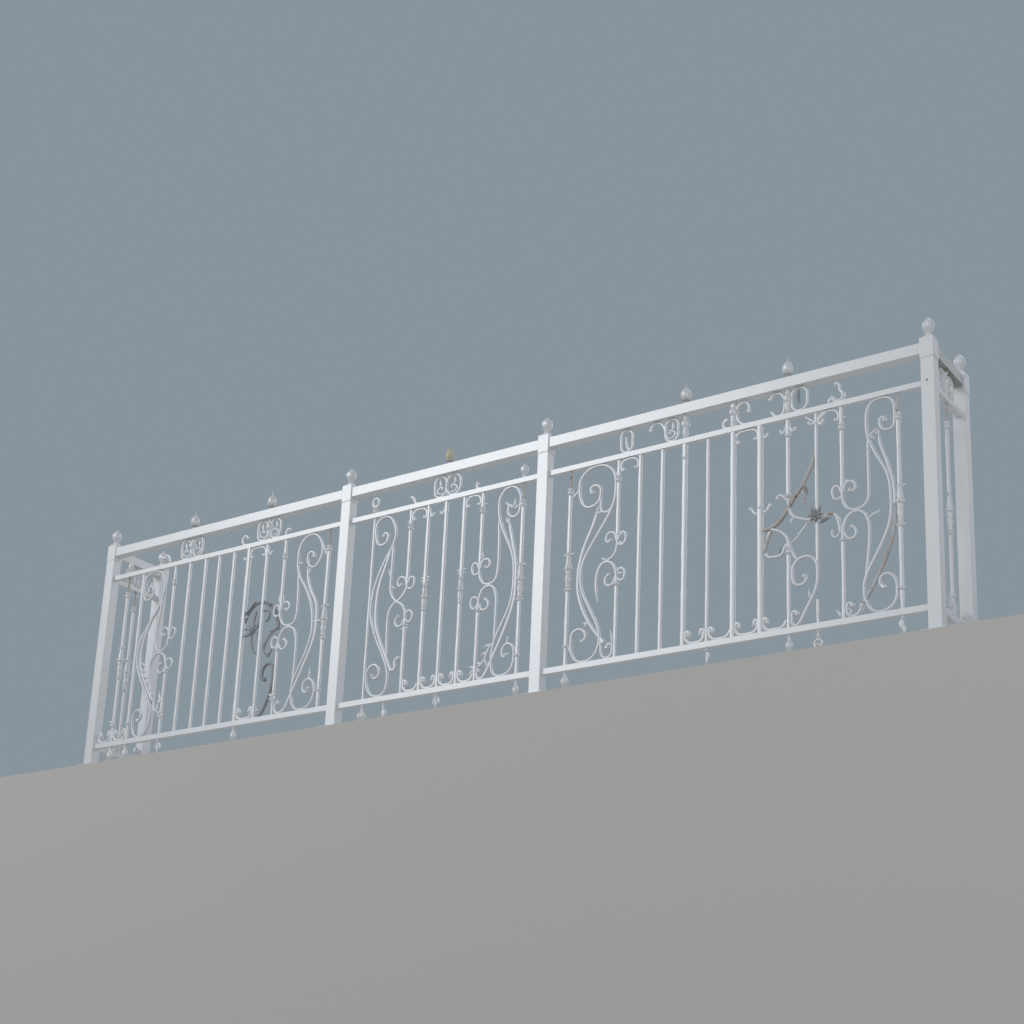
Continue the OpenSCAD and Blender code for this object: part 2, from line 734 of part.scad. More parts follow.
// Point at a drawn height beside bar k, w wide, for the centre line of a strand t thick
// that runs along the bar; with t = 0 the strand ends on the bar
function by_bar(s, k, side, height, t = 0, w = bar_w) =
    [bar_x(s[0], k) + side * ((w + t) / 2 + weld_gap), level(height)];

// Strand with drawn points between ready ones
module shoot(s, route, t = strip_t, from = [], to = []) {
    strip(concat(from, [for (p = route) spray_point(s, p)], to), t, light_strip_d);
}

// Eight-pointed rosette on the front of bar k, at a drawn height
module rosette(s, k, height) {
    d = light_strip_d - 1;
    translate([bar_x(s[0], k), -(bar_w + d) / 2 - weld_gap, level(height)])
        upright(d)
            polygon([for (a = [0:5:355]) rosette_r * (0.8 + 0.2 * cos(8 * a)) * [cos(a), sin(a)]]);
}

module right_spray_strands() {
    s = right_spray;
    seventh = bar_x(2, 7);
    rosette(s, 8, 497);
    shoot(s, [[1096, 640], [1040, 565], [1005, 510], [965, 485]], thick_t,
        from = [by_bar(s, 8, -1, 752, thick_t), by_bar(s, 8, -1, 715, thick_t)],
        to = [by_bar(s, 6, 1, 485, w = stout_bar_w)]);
    shoot(s, [[1098, 640], [1086, 590], [1094, 550]], thin_t);
    shoot(s, [[1032, 545], [1050, 512], [1112, 488]],
        from = [[seventh, level(590)]], to = [by_bar(s, 8, -1, 488)]);
    shoot(s, [[992, 586], [990, 606], [1008, 606], [1032, 575]]);
    shoot(s, [[960, 485], [1000, 470], [1030, 440]], to = [[seventh, level(400)]]);
    shoot(s, [[1031, 418], [1014, 404], [1010, 376], [950, 376], [938, 410], [962, 478]]);
    shoot(s, [[1120, 487], [1105, 480], [1080, 450], [1060, 425], [1034, 410]], thin_t);
    shoot(s, [[1033, 425], [1048, 400], [1050, 362], [1066, 334], [1100, 346], [1128, 326],
        [1139, 280]]);
    shoot(s, [[1140, 240], [1100, 165], [1068, 107], [1044, 107], [1044, 162], [1064, 164],
        [1062, 140]], from = [[bar_x(2, 8), level(322)]]);
    shoot(s, [[1056, 346], [1048, 310], [1048, 262], [1096, 256], [1098, 288], [1080, 288]]);
    shoot(s, [[1164, 485], [1186, 503], [1212, 490], [1226, 440], [1226, 414]],
        from = [by_bar(s, 8, 1, 485)]);
    shoot(s, [[1226, 420], [1212, 403], [1196, 406], [1198, 436]], thin_t);
}

module left_spray_strands() {
    s = left_spray;
    shoot(s, [[923, 497], [900, 484]],
        from = [by_bar(s, 6, -1, 560, strip_t), by_bar(s, 6, -1, 520, strip_t)],
        to = [by_bar(s, 5, 1, 484, w = stout_bar_w)]);
    shoot(s, [[892, 515], [923, 496]], thin_t, from = [by_bar(s, 5, 1, 515, w = stout_bar_w)],
        to = [by_bar(s, 6, -1, 478, thin_t), by_bar(s, 6, -1, 430, thin_t)]);
    shoot(s, [[936, 589], [924, 540], [928, 510], [917, 474], [926, 430], [942, 392]], thin_t,
        to = [by_bar(s, 6, -1, 392)]);
    shoot(s, [[1000, 583], [1014, 578], [1014, 535], [992, 532]], thin_t,
        from = [by_bar(s, 6, 1, 583)]);
    shoot(s, [[1022, 276], [1016, 262], [1000, 270], [1000, 335], [1062, 340], [1062, 215],
        [1010, 107], [986, 107]]);
}

module rosette_spray() {
    color(dark_iron) {
        translate([post_x[right_spray[0]], 0, 0]) right_spray_strands();
        translate([post_x[left_spray[0]], 0, 0]) left_spray_strands();
    }
}

// Buds on the top rail, over the bars that carry the ovals

crest_x = [
    post_x[0] + bar_x(0, 1), post_x[0] + bar_x(0, 6), post_x[1] + bar_x(1, 2),
    post_x[2] + bar_x(2, 3), post_x[2] + bar_x(2, 7)
];

module crest_buds() {
    color(white) for (x = crest_x) translate([x, 0, rail_top]) bud(bud_h, bud_d);
}

// Drops under the bottom rail: below the bars beside the posts and some of the others

drop_x = concat(
    [first_bar_off],
    [for (b = [0:2]) post_x[b] + left_off[b]],
    [for (b = [1:2]) post_x[b + 1] - right_off[b]],
    [post_x[0] + bar_x(0, 0), post_x[0] + bar_x(0, 5), post_x[1] + bar_x(1, 2)],
    [post_x[2] + bar_x(2, 4), post_x[2] + bar_x(2, 7), post_x[2] + bar_x(2, 8)]
);

module rail_drops() {
    color(white) for (x = drop_x) translate([x, 0, bottom_rail_under]) drop();
}

post_body([0, return_len, 0]);  // left_end_post
post_body([0, 0, 0]);  // left_corner_post
post_body([post_x[1], 0, 0]);  // second_post
post_body([post_x[2], 0, 0]);  // third_post
post_body([front_len, 0, 0]);  // right_corner_post
post_body([front_len, return_len, 0]);  // right_end_post

finial_body([0, return_len, 0]);  // left_end_finial
finial_body([0, 0, 0]);  // left_corner_finial
finial_body([post_x[1], 0, 0]);  // second_post_finial
finial_body([post_x[2], 0, 0]);  // third_post_finial
finial_body([front_len, 0, 0]);  // right_corner_finial
finial_body([front_len, return_len, 0]);  // right_end_finial

return_rail(0, top_rail_w, rail_top, cap_w);  // left_return_top_rail
front_rail(0, top_rail_w, rail_top, cap_w);  // bay_one_top_rail
front_rail(1, top_rail_w, rail_top, cap_w);  // bay_two_top_rail
front_rail(2, top_rail_w, rail_top, cap_w);  // bay_three_top_rail
return_rail(front_len, top_rail_w, rail_top, cap_w);  // right_return_top_rail

return_rail(0, sub_rail_w, sub_rail_top, post_w);  // left_return_sub_rail
front_rail(0, sub_rail_w, sub_rail_top, post_w);  // bay_one_sub_rail
front_rail(1, sub_rail_w, sub_rail_top, post_w);  // bay_two_sub_rail
front_rail(2, sub_rail_w, sub_rail_top, post_w);  // bay_three_sub_rail
return_rail(front_len, sub_rail_w, sub_rail_top, post_w);  // right_return_sub_rail

return_rail(0, bottom_rail_w, bottom_rail_top, post_w);  // left_return_bottom_rail
front_rail(0, bottom_rail_w, bottom_rail_top, post_w);  // bay_one_bottom_rail
front_rail(1, bottom_rail_w, bottom_rail_top, post_w);  // bay_two_bottom_rail
front_rail(2, bottom_rail_w, bottom_rail_top, post_w);  // bay_three_bottom_rail
return_rail(front_len, bottom_rail_w, bottom_rail_top, post_w);  // right_return_bottom_rail

bay_bars(0, stout = [5], full_feet = [5], heads = [5], petalled = [[5, 560], [6, 846]]) {  // bay_one_bars
        pinned_bar(first_bar_off);
        bar(one_left_off);
        pinned_bar(bay_one_len - one_right_off);
        by_post = post_w / 2 + weld_gap + weld_sink;
        translate([by_post, 0, 0]) foot_scroll(first_bar_off - bar_w / 2 - by_post);
        translate([first_bar_off + bar_w / 2, 0, 0])
            foot_scroll(one_left_off - first_bar_off - bar_w);
    }
bay_bars(1, knuckled = [1, 3], full_feet = [1, 2], half_feet = [0, 3], heads = [0, 3],  // bay_two_bars
        curls = [1], petalled = [[2, 846]]) {
        bar(two_left_off);
        pinned_bar(bay_two_len - two_right_off);
    }
bay_bars(2, stout = [3, 5, 6], broken = [[7, [400, 590]], [8, [190, 322]]],  // bay_three_bars
        full_feet = [3, 5], half_feet = [4, 6], heads = [0, 8], curls = [5, 6],
        petalled = [[6, 560], [3, 846], [7, 840]]) {
        pinned_bar(three_left_off);
        pinned_bar(bay_three_len - three_right_off);
        ring(bar_x(2, 7), level(820));
    }

at_left_post(0) one_left_strands();  // bay_one_left_scrolls
at_right_post(0) {  // bay_one_right_scrolls
        one_right_strands();
        bindings(one_right_off);
    }
at_left_post(1) two_left_strands();  // bay_two_left_scrolls
at_right_post(1) {  // bay_two_right_scrolls
        two_right_strands();
        bindings(two_right_off);
    }
at_left_post(2) {  // bay_three_left_scrolls
        three_left_strands();
        bindings(three_left_off);
    }
at_right_post(2) {  // bay_three_right_scrolls
        three_right_strands();
        bindings(three_right_off);
    }

band(0, low_bud = false) {  // bay_one_band
    band_bud(first_bar_off);
    oval_pair(bar_x(0, 1));
    oval_pair(bar_x(0, 6));
    band_curl(bar_x(0, 5) - 50);
    band_curl(right_scroll_x(0) + 2);
}
band(1) {  // bay_two_band
    band_curl(left_scroll_x(1) - 12);
    oval_pair(bar_x(1, 2));
    band_curl(right_scroll_x(1) - 30);
}
band(2, low_bud = false) {  // bay_three_band
    band_oval(left_scroll_x(2) + bar_w / 4);
    band_hook(bar_x(2, 3) - 152);
    band_oval(bar_x(2, 3) - 88);
    band_stub(bar_x(2, 3));
    band_curl(bar_x(2, 5) - 48);
    band_stub(bar_x(2, 5), stout_bar_w);
    band_question(bar_x(2, 5) + 15);
    oval_pair(bar_x(2, 7));
    band_curl(right_scroll_x(2) - 34);
}

color(white) rotate(90) return_panel();  // left_return_panel
color(white) translate([front_len, 0, 0]) rotate(90) return_panel();  // right_return_panel
rosette_spray();
crest_buds();
rail_drops();
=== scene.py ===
"""Looks of a wrought iron balcony railing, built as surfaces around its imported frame.

Lengths inside the shape functions are millimetres on a working face: u runs along the
railing, w runs up and d runs through it. A piece is placed on its face in metres at the end.
"""

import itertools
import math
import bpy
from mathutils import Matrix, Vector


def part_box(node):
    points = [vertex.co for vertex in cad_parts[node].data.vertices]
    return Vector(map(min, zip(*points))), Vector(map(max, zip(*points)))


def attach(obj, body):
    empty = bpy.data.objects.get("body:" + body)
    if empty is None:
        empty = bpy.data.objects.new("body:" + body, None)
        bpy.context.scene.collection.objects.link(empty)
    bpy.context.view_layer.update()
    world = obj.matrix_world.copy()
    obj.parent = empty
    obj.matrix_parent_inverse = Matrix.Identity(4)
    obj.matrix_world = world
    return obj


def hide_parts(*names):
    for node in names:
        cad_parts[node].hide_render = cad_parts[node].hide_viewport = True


bl_info = {
    "name": "Iron Balcony Railing",
    "version": (1, 0, 0),
    "blender": (4, 5, 0),
    "location": "3D View > Sidebar > Railing",
    "description": "Dresses a wrought iron balcony railing: bars, scrolls, bands, finials and paint",
    "category": "Add Mesh",
}

from collections import namedtuple

import bpy
import numpy as np
from mathutils import Matrix, Vector

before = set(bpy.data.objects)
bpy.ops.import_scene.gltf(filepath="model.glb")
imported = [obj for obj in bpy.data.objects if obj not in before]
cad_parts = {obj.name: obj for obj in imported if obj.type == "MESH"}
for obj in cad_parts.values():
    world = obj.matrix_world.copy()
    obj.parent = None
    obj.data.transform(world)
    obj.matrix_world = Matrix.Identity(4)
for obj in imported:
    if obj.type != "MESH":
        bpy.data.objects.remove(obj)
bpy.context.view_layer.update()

MM = 0.001


def node_low(node):
    """Lowest corner of a frame node, in millimetres."""
    return np.array(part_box(node)[0]) / MM


def node_high(node):
    """Highest corner of a frame node, in millimetres."""
    return np.array(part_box(node)[1]) / MM


def node_middle(node):
    """Centre of a frame node's box, in millimetres."""
    return (node_low(node) + node_high(node)) / 2


# Places that the frame gives, in millimetres

BAYS = ["one", "two", "three"]
FRONT_POSTS = ["left_corner", "second", "third", "right_corner"]
POST_X = [float(node_middle(f"{post}_post")[0]) for post in FRONT_POSTS]
RETURN_LEN = float(node_middle("left_end_post")[1] - node_middle("left_corner_post")[1])
RAIL_TOP = float(node_high("bay_one_top_rail")[2])
RAIL_UNDER = float(node_low("bay_one_top_rail")[2])
SUB_TOP = float(node_high("bay_one_sub_rail")[2])
SUB_UNDER = float(node_low("bay_one_sub_rail")[2])
FOOT_TOP = float(node_high("bay_one_bottom_rail")[2])
FOOT_UNDER = float(node_low("bay_one_bottom_rail")[2])

# Heights read from the photograph: the foot of a knuckled bar's pin and of the knobs on broken bars,
# the foot of a knuckle, the low collars, and the stretch in which a strand takes the place of a bar
PIN_FOOT = 800.0
KNUCKLE_FOOT = 397
LOW_COLLAR = 172
WAIST = (400, 590)
WAIST_COLLAR = 384
# Half of a post's width
POST_HALF = 23.0


# Working faces

Face = namedtuple("Face", "origin along up deep")
X_AXIS = np.array([1.0, 0.0, 0.0])
Y_AXIS = np.array([0.0, 1.0, 0.0])
Z_AXIS = np.array([0.0, 0.0, 1.0])


def front_face(x, mirrored=False):
    """Face in the railing's front, with u = 0 at x and w = 0 at the slab."""
    return Face(np.array([x, 0.0, 0.0]), -X_AXIS if mirrored else X_AXIS, Z_AXIS, Y_AXIS)


def side_face(x):
    """Face in the return at x, with u = 0 at its corner post and w = 0 at the slab."""
    return Face(np.array([x, 0.0, 0.0]), Y_AXIS, Z_AXIS, X_AXIS)


def placed(part, face):
    """Turns a part's u, w, d into the frame's x, y, z, still in millimetres."""
    verts, quads, tris = part
    axes = np.array([face.along, face.up, face.deep])
    return face.origin + verts @ axes, quads, tris


def all_placed(parts, face):
    """Every part of a list on one face."""
    return [placed(part, face) for part in parts]


def bay_span(bay):
    """First and last post of a bay in the front, in millimetres along it."""
    k = BAYS.index(bay)
    return POST_X[k], POST_X[k + 1]


def bay_face(bay):
    """Working face of a bay, read from its left post."""
    return front_face(bay_span(bay)[0])


# Surfaces


def skin(rings, loop=False):
    """Surface over a grid of rings: every ring is joined to the next one.

    With loop the last ring is joined to the first. Otherwise each end ring is drawn
    together at its middle point, so the surface is closed either way.
    """
    count, sides = rings.shape[:2]
    last = count if loop else count - 1
    i, j = np.meshgrid(np.arange(last), np.arange(sides), indexing="ij")
    k = (j + 1) % sides
    n = (i + 1) % count
    quads = np.stack([i * sides + j, i * sides + k, n * sides + k, n * sides + j], -1).reshape(-1, 4)
    verts = rings.reshape(-1, 3)
    if loop:
        return verts, quads, np.zeros((0, 3), int)
    verts = np.vstack([verts, rings[0].mean(0), rings[-1].mean(0)])
    j = np.arange(sides)
    k = (j + 1) % sides
    start = np.stack([k, j, np.full(sides, count * sides)], -1)
    end = np.stack([j, k, np.full(sides, 0)], -1) + (count - 1) * sides
    end[:, 2] = count * sides + 1
    return verts, quads, np.vstack([start, end])


def triangles(quads, tris):
    """Every quad cut into two triangles, with the triangles after them."""
    return np.vstack([quads[:, [0, 1, 2]], quads[:, [0, 2, 3]], tris]).astype(int)


def facing_out(part):
    """The part with its faces turned outwards: the sum of the tetrahedra from the part's
    middle to each triangle is its volume, which has to be positive."""
    verts, quads, tris = part
    corners = (verts - verts.mean(0))[triangles(quads, tris)]
    volume = np.einsum("ij,ij->i", corners[:, 0], np.cross(corners[:, 1], corners[:, 2])).sum()
    if volume < 0:
        return verts, quads[:, ::-1], tris[:, ::-1]
    return part


# Faces that meet at more than this many degrees keep a sharp edge between them
SHARP_TURN = 50


def make_piece(name, parts, finish, node=None):
    """One mesh object from placed parts: it rides on the railing and may replace a node."""
    verts, faces, start = [], [], 0
    for part in map(facing_out, parts):
        verts.append(part[0])
        for corners in part[1:]:
            faces.extend((corners + start).tolist())
        start += len(part[0])
    mesh = bpy.data.meshes.new(name)
    mesh.from_pydata((np.vstack(verts) * MM).tolist(), [], faces)
    mesh.polygons.foreach_set("use_smooth", np.ones(len(mesh.polygons), bool))
    mesh.set_sharp_from_angle(angle=math.radians(SHARP_TURN))
    mesh.materials.append(bpy.data.materials[finish])
    mesh.update()
    piece = bpy.data.objects.new(name, mesh)
    bpy.context.scene.collection.objects.link(piece)
    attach(piece, "root")
    if node:
        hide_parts(node)


# Lines on a working face

# Most degrees that an arc turns between two of its points
TURN_STEP = 8.0
# Fewest points on a line
LINE_POINTS = 6
# A turn that counts as straight, in radians, and points that count as one, in millimetres
STRAIGHT = 0.01
TOUCHING = 1e-6


def rounded(route):
    """Route whose corners are arcs tangent to both sides.

    An arc may use half of a side between two corners, or all of an end side.
    """
    route = np.array(route, float)
    sides = np.diff(route, axis=0)
    lengths = np.linalg.norm(sides, axis=1)
    ways = sides / lengths[:, None]
    share = lengths * 0.5
    share[0], share[-1] = lengths[0], lengths[-1]
    points = [route[:1]]
    for i in range(1, len(route) - 1):
        cut = min(share[i - 1], share[i])
        a, b = ways[i - 1], ways[i]
        turn = math.atan2(a[0] * b[1] - a[1] * b[0], a @ b)
        if abs(turn) < STRAIGHT:
            points.append(route[i : i + 1])
            continue
        radius = cut / math.tan(abs(turn) / 2)
        side = math.copysign(1.0, turn)
        centre = route[i] - a * cut + side * radius * np.array([-a[1], a[0]])
        start = math.atan2(a[1], a[0]) - side * math.pi / 2
        steps = max(3, math.ceil(abs(math.degrees(turn)) / TURN_STEP))
        angles = start + turn * np.linspace(0, 1, steps + 1)
        points.append(centre + radius * np.stack([np.cos(angles), np.sin(angles)], -1))
    points.append(route[-1:])
    return np.vstack(points)


def evenly(points, spacing, loop=False):
    """Points at an even distance along a line, found by their length from its start."""
    if loop:
        points = np.vstack([points, points[:1]])
    gaps = np.linalg.norm(np.diff(points, axis=0), axis=1)
    apart = gaps > TOUCHING
    points = points[np.concatenate([[True], apart])]
    along = np.concatenate([[0], np.cumsum(gaps[apart])])
    places = np.linspace(0, along[-1], max(LINE_POINTS, round(along[-1] / spacing) + 1))
    line = np.stack([np.interp(places, along, points[:, k]) for k in range(2)], -1)
    return line[:-1] if loop else line


def eased(points, reach=3):
    """Each point replaced by the weighted mean of its neighbours, with both ends kept."""
    weights = np.hanning(2 * reach + 3)[1:-1]
    weights /= weights.sum()
    head = 2 * points[0] - points[reach:0:-1]
    tail = 2 * points[-1] - points[-2 : -reach - 2 : -1]
    padded = np.vstack([head, points, tail])
    return np.stack([np.convolve(padded[:, k], weights, "valid") for k in range(points.shape[1])], -1)


def flowing(route, spacing=3.0):
    """Smooth line of a route of corners."""
    return eased(evenly(rounded(route), spacing))


def length_along(line):
    """Length from the start of a line to each of its points."""
    return np.concatenate([[0], np.cumsum(np.linalg.norm(np.diff(line, axis=0), axis=1))])


def directions(steps):
    """Unit directions of the steps along a line, and the ones square to them on its left."""
    way = steps / np.linalg.norm(steps, axis=1)[:, None]
    return way, np.stack([-way[:, 1], way[:, 0]], -1)


# Parts

# Radii of softened corners, as shares of half the width of a strip or a bar
STRIP_CORNER = 0.55
BAR_CORNER = 0.34
# Points round a strip or a bar, and lengths between the rings of a strip, an oval, a leaf and a bar
ROUND_POINTS = 16
STRIP_STEP = 4.0
OVAL_STEP = 3.0
LEAF_STEP = 2.5
BAR_STEP = 14
# Length over which a bar's end turns from its flat end ring to its sides
BAR_EDGE = 0.4
# A leaf's thickness, how far its sides fold forward, and how sharply
LEAF_THICK = 2.6
LEAF_FOLD = 0.35
LEAF_CREASE = 1.4
# Angle from a ball's pole to its first ring
POLE_GAP = 0.06


def grid(u, w, d):
    """Rings of points from their coordinates, each of which is spread over the whole grid."""
    return np.stack(np.broadcast_arrays(u, w, d), -1)


def swept(line, across, out, through):
    """Rings along a line: each point is the line's own, moved by out across the line and by
    through into the face."""
    points = line[:, None] + across[:, None] * out[..., None]
    return grid(points[..., 0], points[..., 1], through)


def round_box(sides, corner):
    """Outline of a square of half width 1 whose corners turn on a radius, as x and y."""
    quarter = sides // 4
    angles = np.linspace(0, math.pi / 2, quarter)
    arc = np.stack([np.cos(angles), np.sin(angles)], -1) * corner + 1 - corner
    turns = []
    for _ in range(4):
        turns.append(arc)
        arc = np.stack([-arc[:, 1], arc[:, 0]], -1)
    return np.vstack(turns)


def round_end(away, reach):
    """Quarter ellipse of the distance to an end: 1 from reach on, and a tenth at the end."""
    return np.sqrt(np.clip(1 - np.clip(1 - away / reach, 0, 1) ** 2, 0.01, 1))


def end_scale(away, kind, size):
    """How the section shrinks towards an end, from the distance to it.

    blunt is a quarter ellipse, point is a long smooth taper, and bud swells into a ball.
    """
    blunt = round_end(away, size * 0.5)
    if kind == "blunt":
        return blunt
    if kind == "point":
        t = np.clip(away / (size * 5), 0, 1)
        return blunt * (0.38 + 0.62 * t * t * (3 - 2 * t))
    swell = 1 + 0.85 * np.exp(-(((away - size * 0.75) / (size * 0.55)) ** 2))
    return round_end(away, size * 0.85) * swell


def strip_part(route, thick, deep, ends=("blunt", "blunt"), at_depth=0.0):
    """Flat bar with softened edges carried along a route on the face.

    A ring is the path's point plus x times half the thickness across the path plus y times
    half the depth through it, where x, y run round a rounded square.
    """
    line = flowing(route, STRIP_STEP)
    across = directions(np.gradient(line, axis=0))[1]
    along = length_along(line)
    scale = end_scale(along[-1] - along, ends[1], thick) * end_scale(along, ends[0], thick)
    x, y = round_box(ROUND_POINTS, STRIP_CORNER).T
    through = at_depth + np.sqrt(scale)[:, None] * y * deep / 2
    return skin(swept(line, across, scale[:, None] * x * thick / 2, through))


def ring_part(left, right, low, high, thick, deep):
    """Upright oval ring: the same flat bar carried round two half circles and two straights."""
    r = (right - left - thick) / 2
    a = np.radians(np.arange(0, 181, 10))
    mid = (left + right) / 2
    top = np.stack([mid + r * np.cos(a), high - thick / 2 - r + r * np.sin(a)], -1)
    base = np.stack([mid - r * np.cos(a), low + thick / 2 + r - r * np.sin(a)], -1)
    line = evenly(np.vstack([top, base]), OVAL_STEP, loop=True)
    across = directions(np.roll(line, -1, axis=0) - np.roll(line, 1, axis=0))[1]
    x, y = round_box(ROUND_POINTS, STRIP_CORNER).T
    return skin(swept(line, across, (x * thick / 2)[None], y * deep / 2), loop=True)


def turned_part(u, w, outline, sides=20, lobes=0, depth=0.0, at_depth=0.0):
    """Turned form about an upright axis: the outline gives the radius at each height.

    With lobes the radius also rises and falls round the axis, most where the form is widest.
    """
    heights, radii = np.array(outline, float).T[:, :, None]
    a = np.linspace(0, 2 * math.pi, sides, endpoint=False)
    radius = radii * (1 + depth * np.cos(lobes * a) * (radii / radii.max()))
    return skin(grid(u + radius * np.cos(a), w + heights, at_depth + radius * np.sin(a)))


def smooth_outline(points, count):
    """Outline of heights and radii through given points, eased between them."""
    points = np.array(points, float)
    places = np.linspace(0, 1, count)
    stations = np.linspace(0, 1, len(points))
    line = np.stack([np.interp(places, stations, points[:, k]) for k in range(2)], -1)
    return eased(line, 2)


def bar_part(u, low, high, width, seed=0):
    """Upright square bar with softened edges. Its sides waver a little with height, as the
    sum of two slow waves, it sways as half a wave, and its end rings are flat."""
    between = np.arange(low + 12, high - 6, BAR_STEP)
    heights = np.concatenate([[low, low + BAR_EDGE], between, [high - BAR_EDGE, high]])
    phase = seed * 1.7
    waver = 0.25 * np.sin(heights / 31 + phase) + 0.2 * np.sin(heights / 13 + 2 * phase)
    sway = 0.5 * np.sin((heights - low) / (high - low) * math.pi) * math.sin(phase * 3)
    half = (width / 2 + waver - BAR_EDGE)[:, None]
    x, y = round_box(ROUND_POINTS, BAR_CORNER).T
    return skin(grid(u + sway[:, None] + half * x, heights[:, None], half * y))


def leaf_part(route, width, at_depth=0.0):
    """Leaf along a route: its half width is the sine of the distance from its stalk to a power,
    and its blade is folded towards the viewer along the midrib."""
    line = flowing(route, LEAF_STEP)
    across = directions(np.gradient(line, axis=0))[1]
    along = length_along(line)
    t = (along / along[-1])[:, None]
    half = width / 2 * (0.16 + 0.84 * np.sin(math.pi * t**0.75) ** 1.2) * (1 - t**6 * 0.85)
    a = np.linspace(0, 2 * math.pi, 12, endpoint=False)
    x, y = np.cos(a), np.sin(a)
    body = np.clip(half * 0.8, 0.6, LEAF_THICK / 2) * y
    fold = LEAF_FOLD * half * np.abs(x) ** LEAF_CREASE
    return skin(swept(line, across, half * x, at_depth + body + fold))


def ball_part(u, w, radius, at_depth=0.0):
    """Ball about a point of the face: half circles about its upright axis."""
    a = np.linspace(POLE_GAP, math.pi - POLE_GAP, 12)
    outline = np.stack([-radius * np.cos(a), radius * np.sin(a)], -1)
    return turned_part(u, w, outline, sides=16, at_depth=at_depth)


# Turned forms, as heights and radii from the foot up

KNUCKLE = [
    (0, 7), (3, 10), (7, 12), (12, 10), (15, 8), (19, 10), (24, 10), (28, 8), (36, 10), (48, 12), (58, 11),
    (64, 8.5), (70, 11), (78, 12), (83, 11), (86, 15), (92, 16.5), (98, 15), (101, 11), (112, 11.5),
    (128, 9), (142, 8), (147, 7.5), (150, 10), (155, 10), (158, 7.5),
]
SMALL_KNUCKLE = [
    (0, 7), (3, 10), (8, 10), (12, 8), (20, 9.5), (34, 11), (46, 9.5), (52, 8.5), (55, 12), (62, 13),
    (68, 12), (71, 9), (84, 10), (98, 8), (104, 7.5), (107, 10), (113, 10), (117, 7.5),
]
KNOB = [(0, 7), (3, 11), (8, 13), (13, 11), (17, 9), (21, 12), (26, 12), (30, 7)]
COLLAR = [(0, 8), (2, 11), (6, 12.5), (10, 11), (12, 8)]
BALL = [(0, 7), (3, 10), (8, 12), (13, 10), (16, 7)]
FINIAL_BUD = [
    (0, 9), (4, 11), (8, 12), (14, 16), (22, 20.5), (32, 22.5), (40, 21.5), (48, 17.5), (55, 11.5),
    (60, 6.5), (66, 2),
]
FINIAL_NECK = [(0, 15), (4, 15.5), (7, 14), (10, 11), (12, 9), (15, 9), (17, 11), (19, 9)]
CREST_BUD = [
    (20, 10), (24, 15), (31, 19), (40, 20.5), (50, 19.5), (58, 16), (65, 11), (70, 5.5), (73, 2), (82, 1.2),
    (91, 0.8),
]
CREST_CUP = [(0, 10), (3, 14), (7, 13), (10, 10), (13, 10), (16, 14), (21, 16), (25, 14)]
TULIP = [(0, 8), (4, 10), (8, 8), (12, 7), (18, 12), (28, 17), (40, 18), (48, 14), (55, 8), (62, 3)]
SLIM_BUD = [(0, 8), (4, 10), (8, 8), (12, 6), (18, 9), (28, 12), (38, 11), (48, 7), (58, 3), (66, 1)]
DROP_COLLAR = [(0, 5), (2, 7), (5, 8), (8, 6), (12, 7)]
DROP_BUD = [(0, 1.5), (4, 4), (12, 10), (22, 14), (32, 13), (42, 8), (50, 5), (58, 5)]
DROP_BEAD = [(0, 2), (4, 9), (12, 15), (22, 17), (31, 14), (38, 8), (44, 5), (58, 5)]
STUB = [
    (0, 8), (4, 11), (8, 8), (16, 10), (30, 13), (40, 9), (46, 12), (58, 18), (68, 15), (78, 9), (90, 8),
    (94, 11), (98, 9),
]

# Kinds of strand: thickness and depth as shares of the strip's, and the finish of both ends

KINDS = {
    "main": (0.95, 1.0, "bud", "bud"),
    "vine": (1.15, 0.85, "point", "bud"),
    "blade": (1.0, 0.85, "point", "blunt"),
    "link": (0.95, 0.9, "point", "blunt"),
    "rise": (0.95, 0.85, "blunt", "point"),
    "tie": (0.8, 0.7, "blunt", "blunt"),
    "curl": (0.85, 0.75, "blunt", "bud"),
    "tendril": (0.65, 0.6, "blunt", "bud"),
    "branch": (1.3, 0.95, "point", "blunt"),
    "shoot": (0.9, 0.75, "blunt", "blunt"),
    "thorn": (0.6, 0.65, "blunt", "point"),
}

# Scroll groups, each read from its own post: u from the post's centre, w above the base.
# A vine is the thick strand that runs beside the main one.

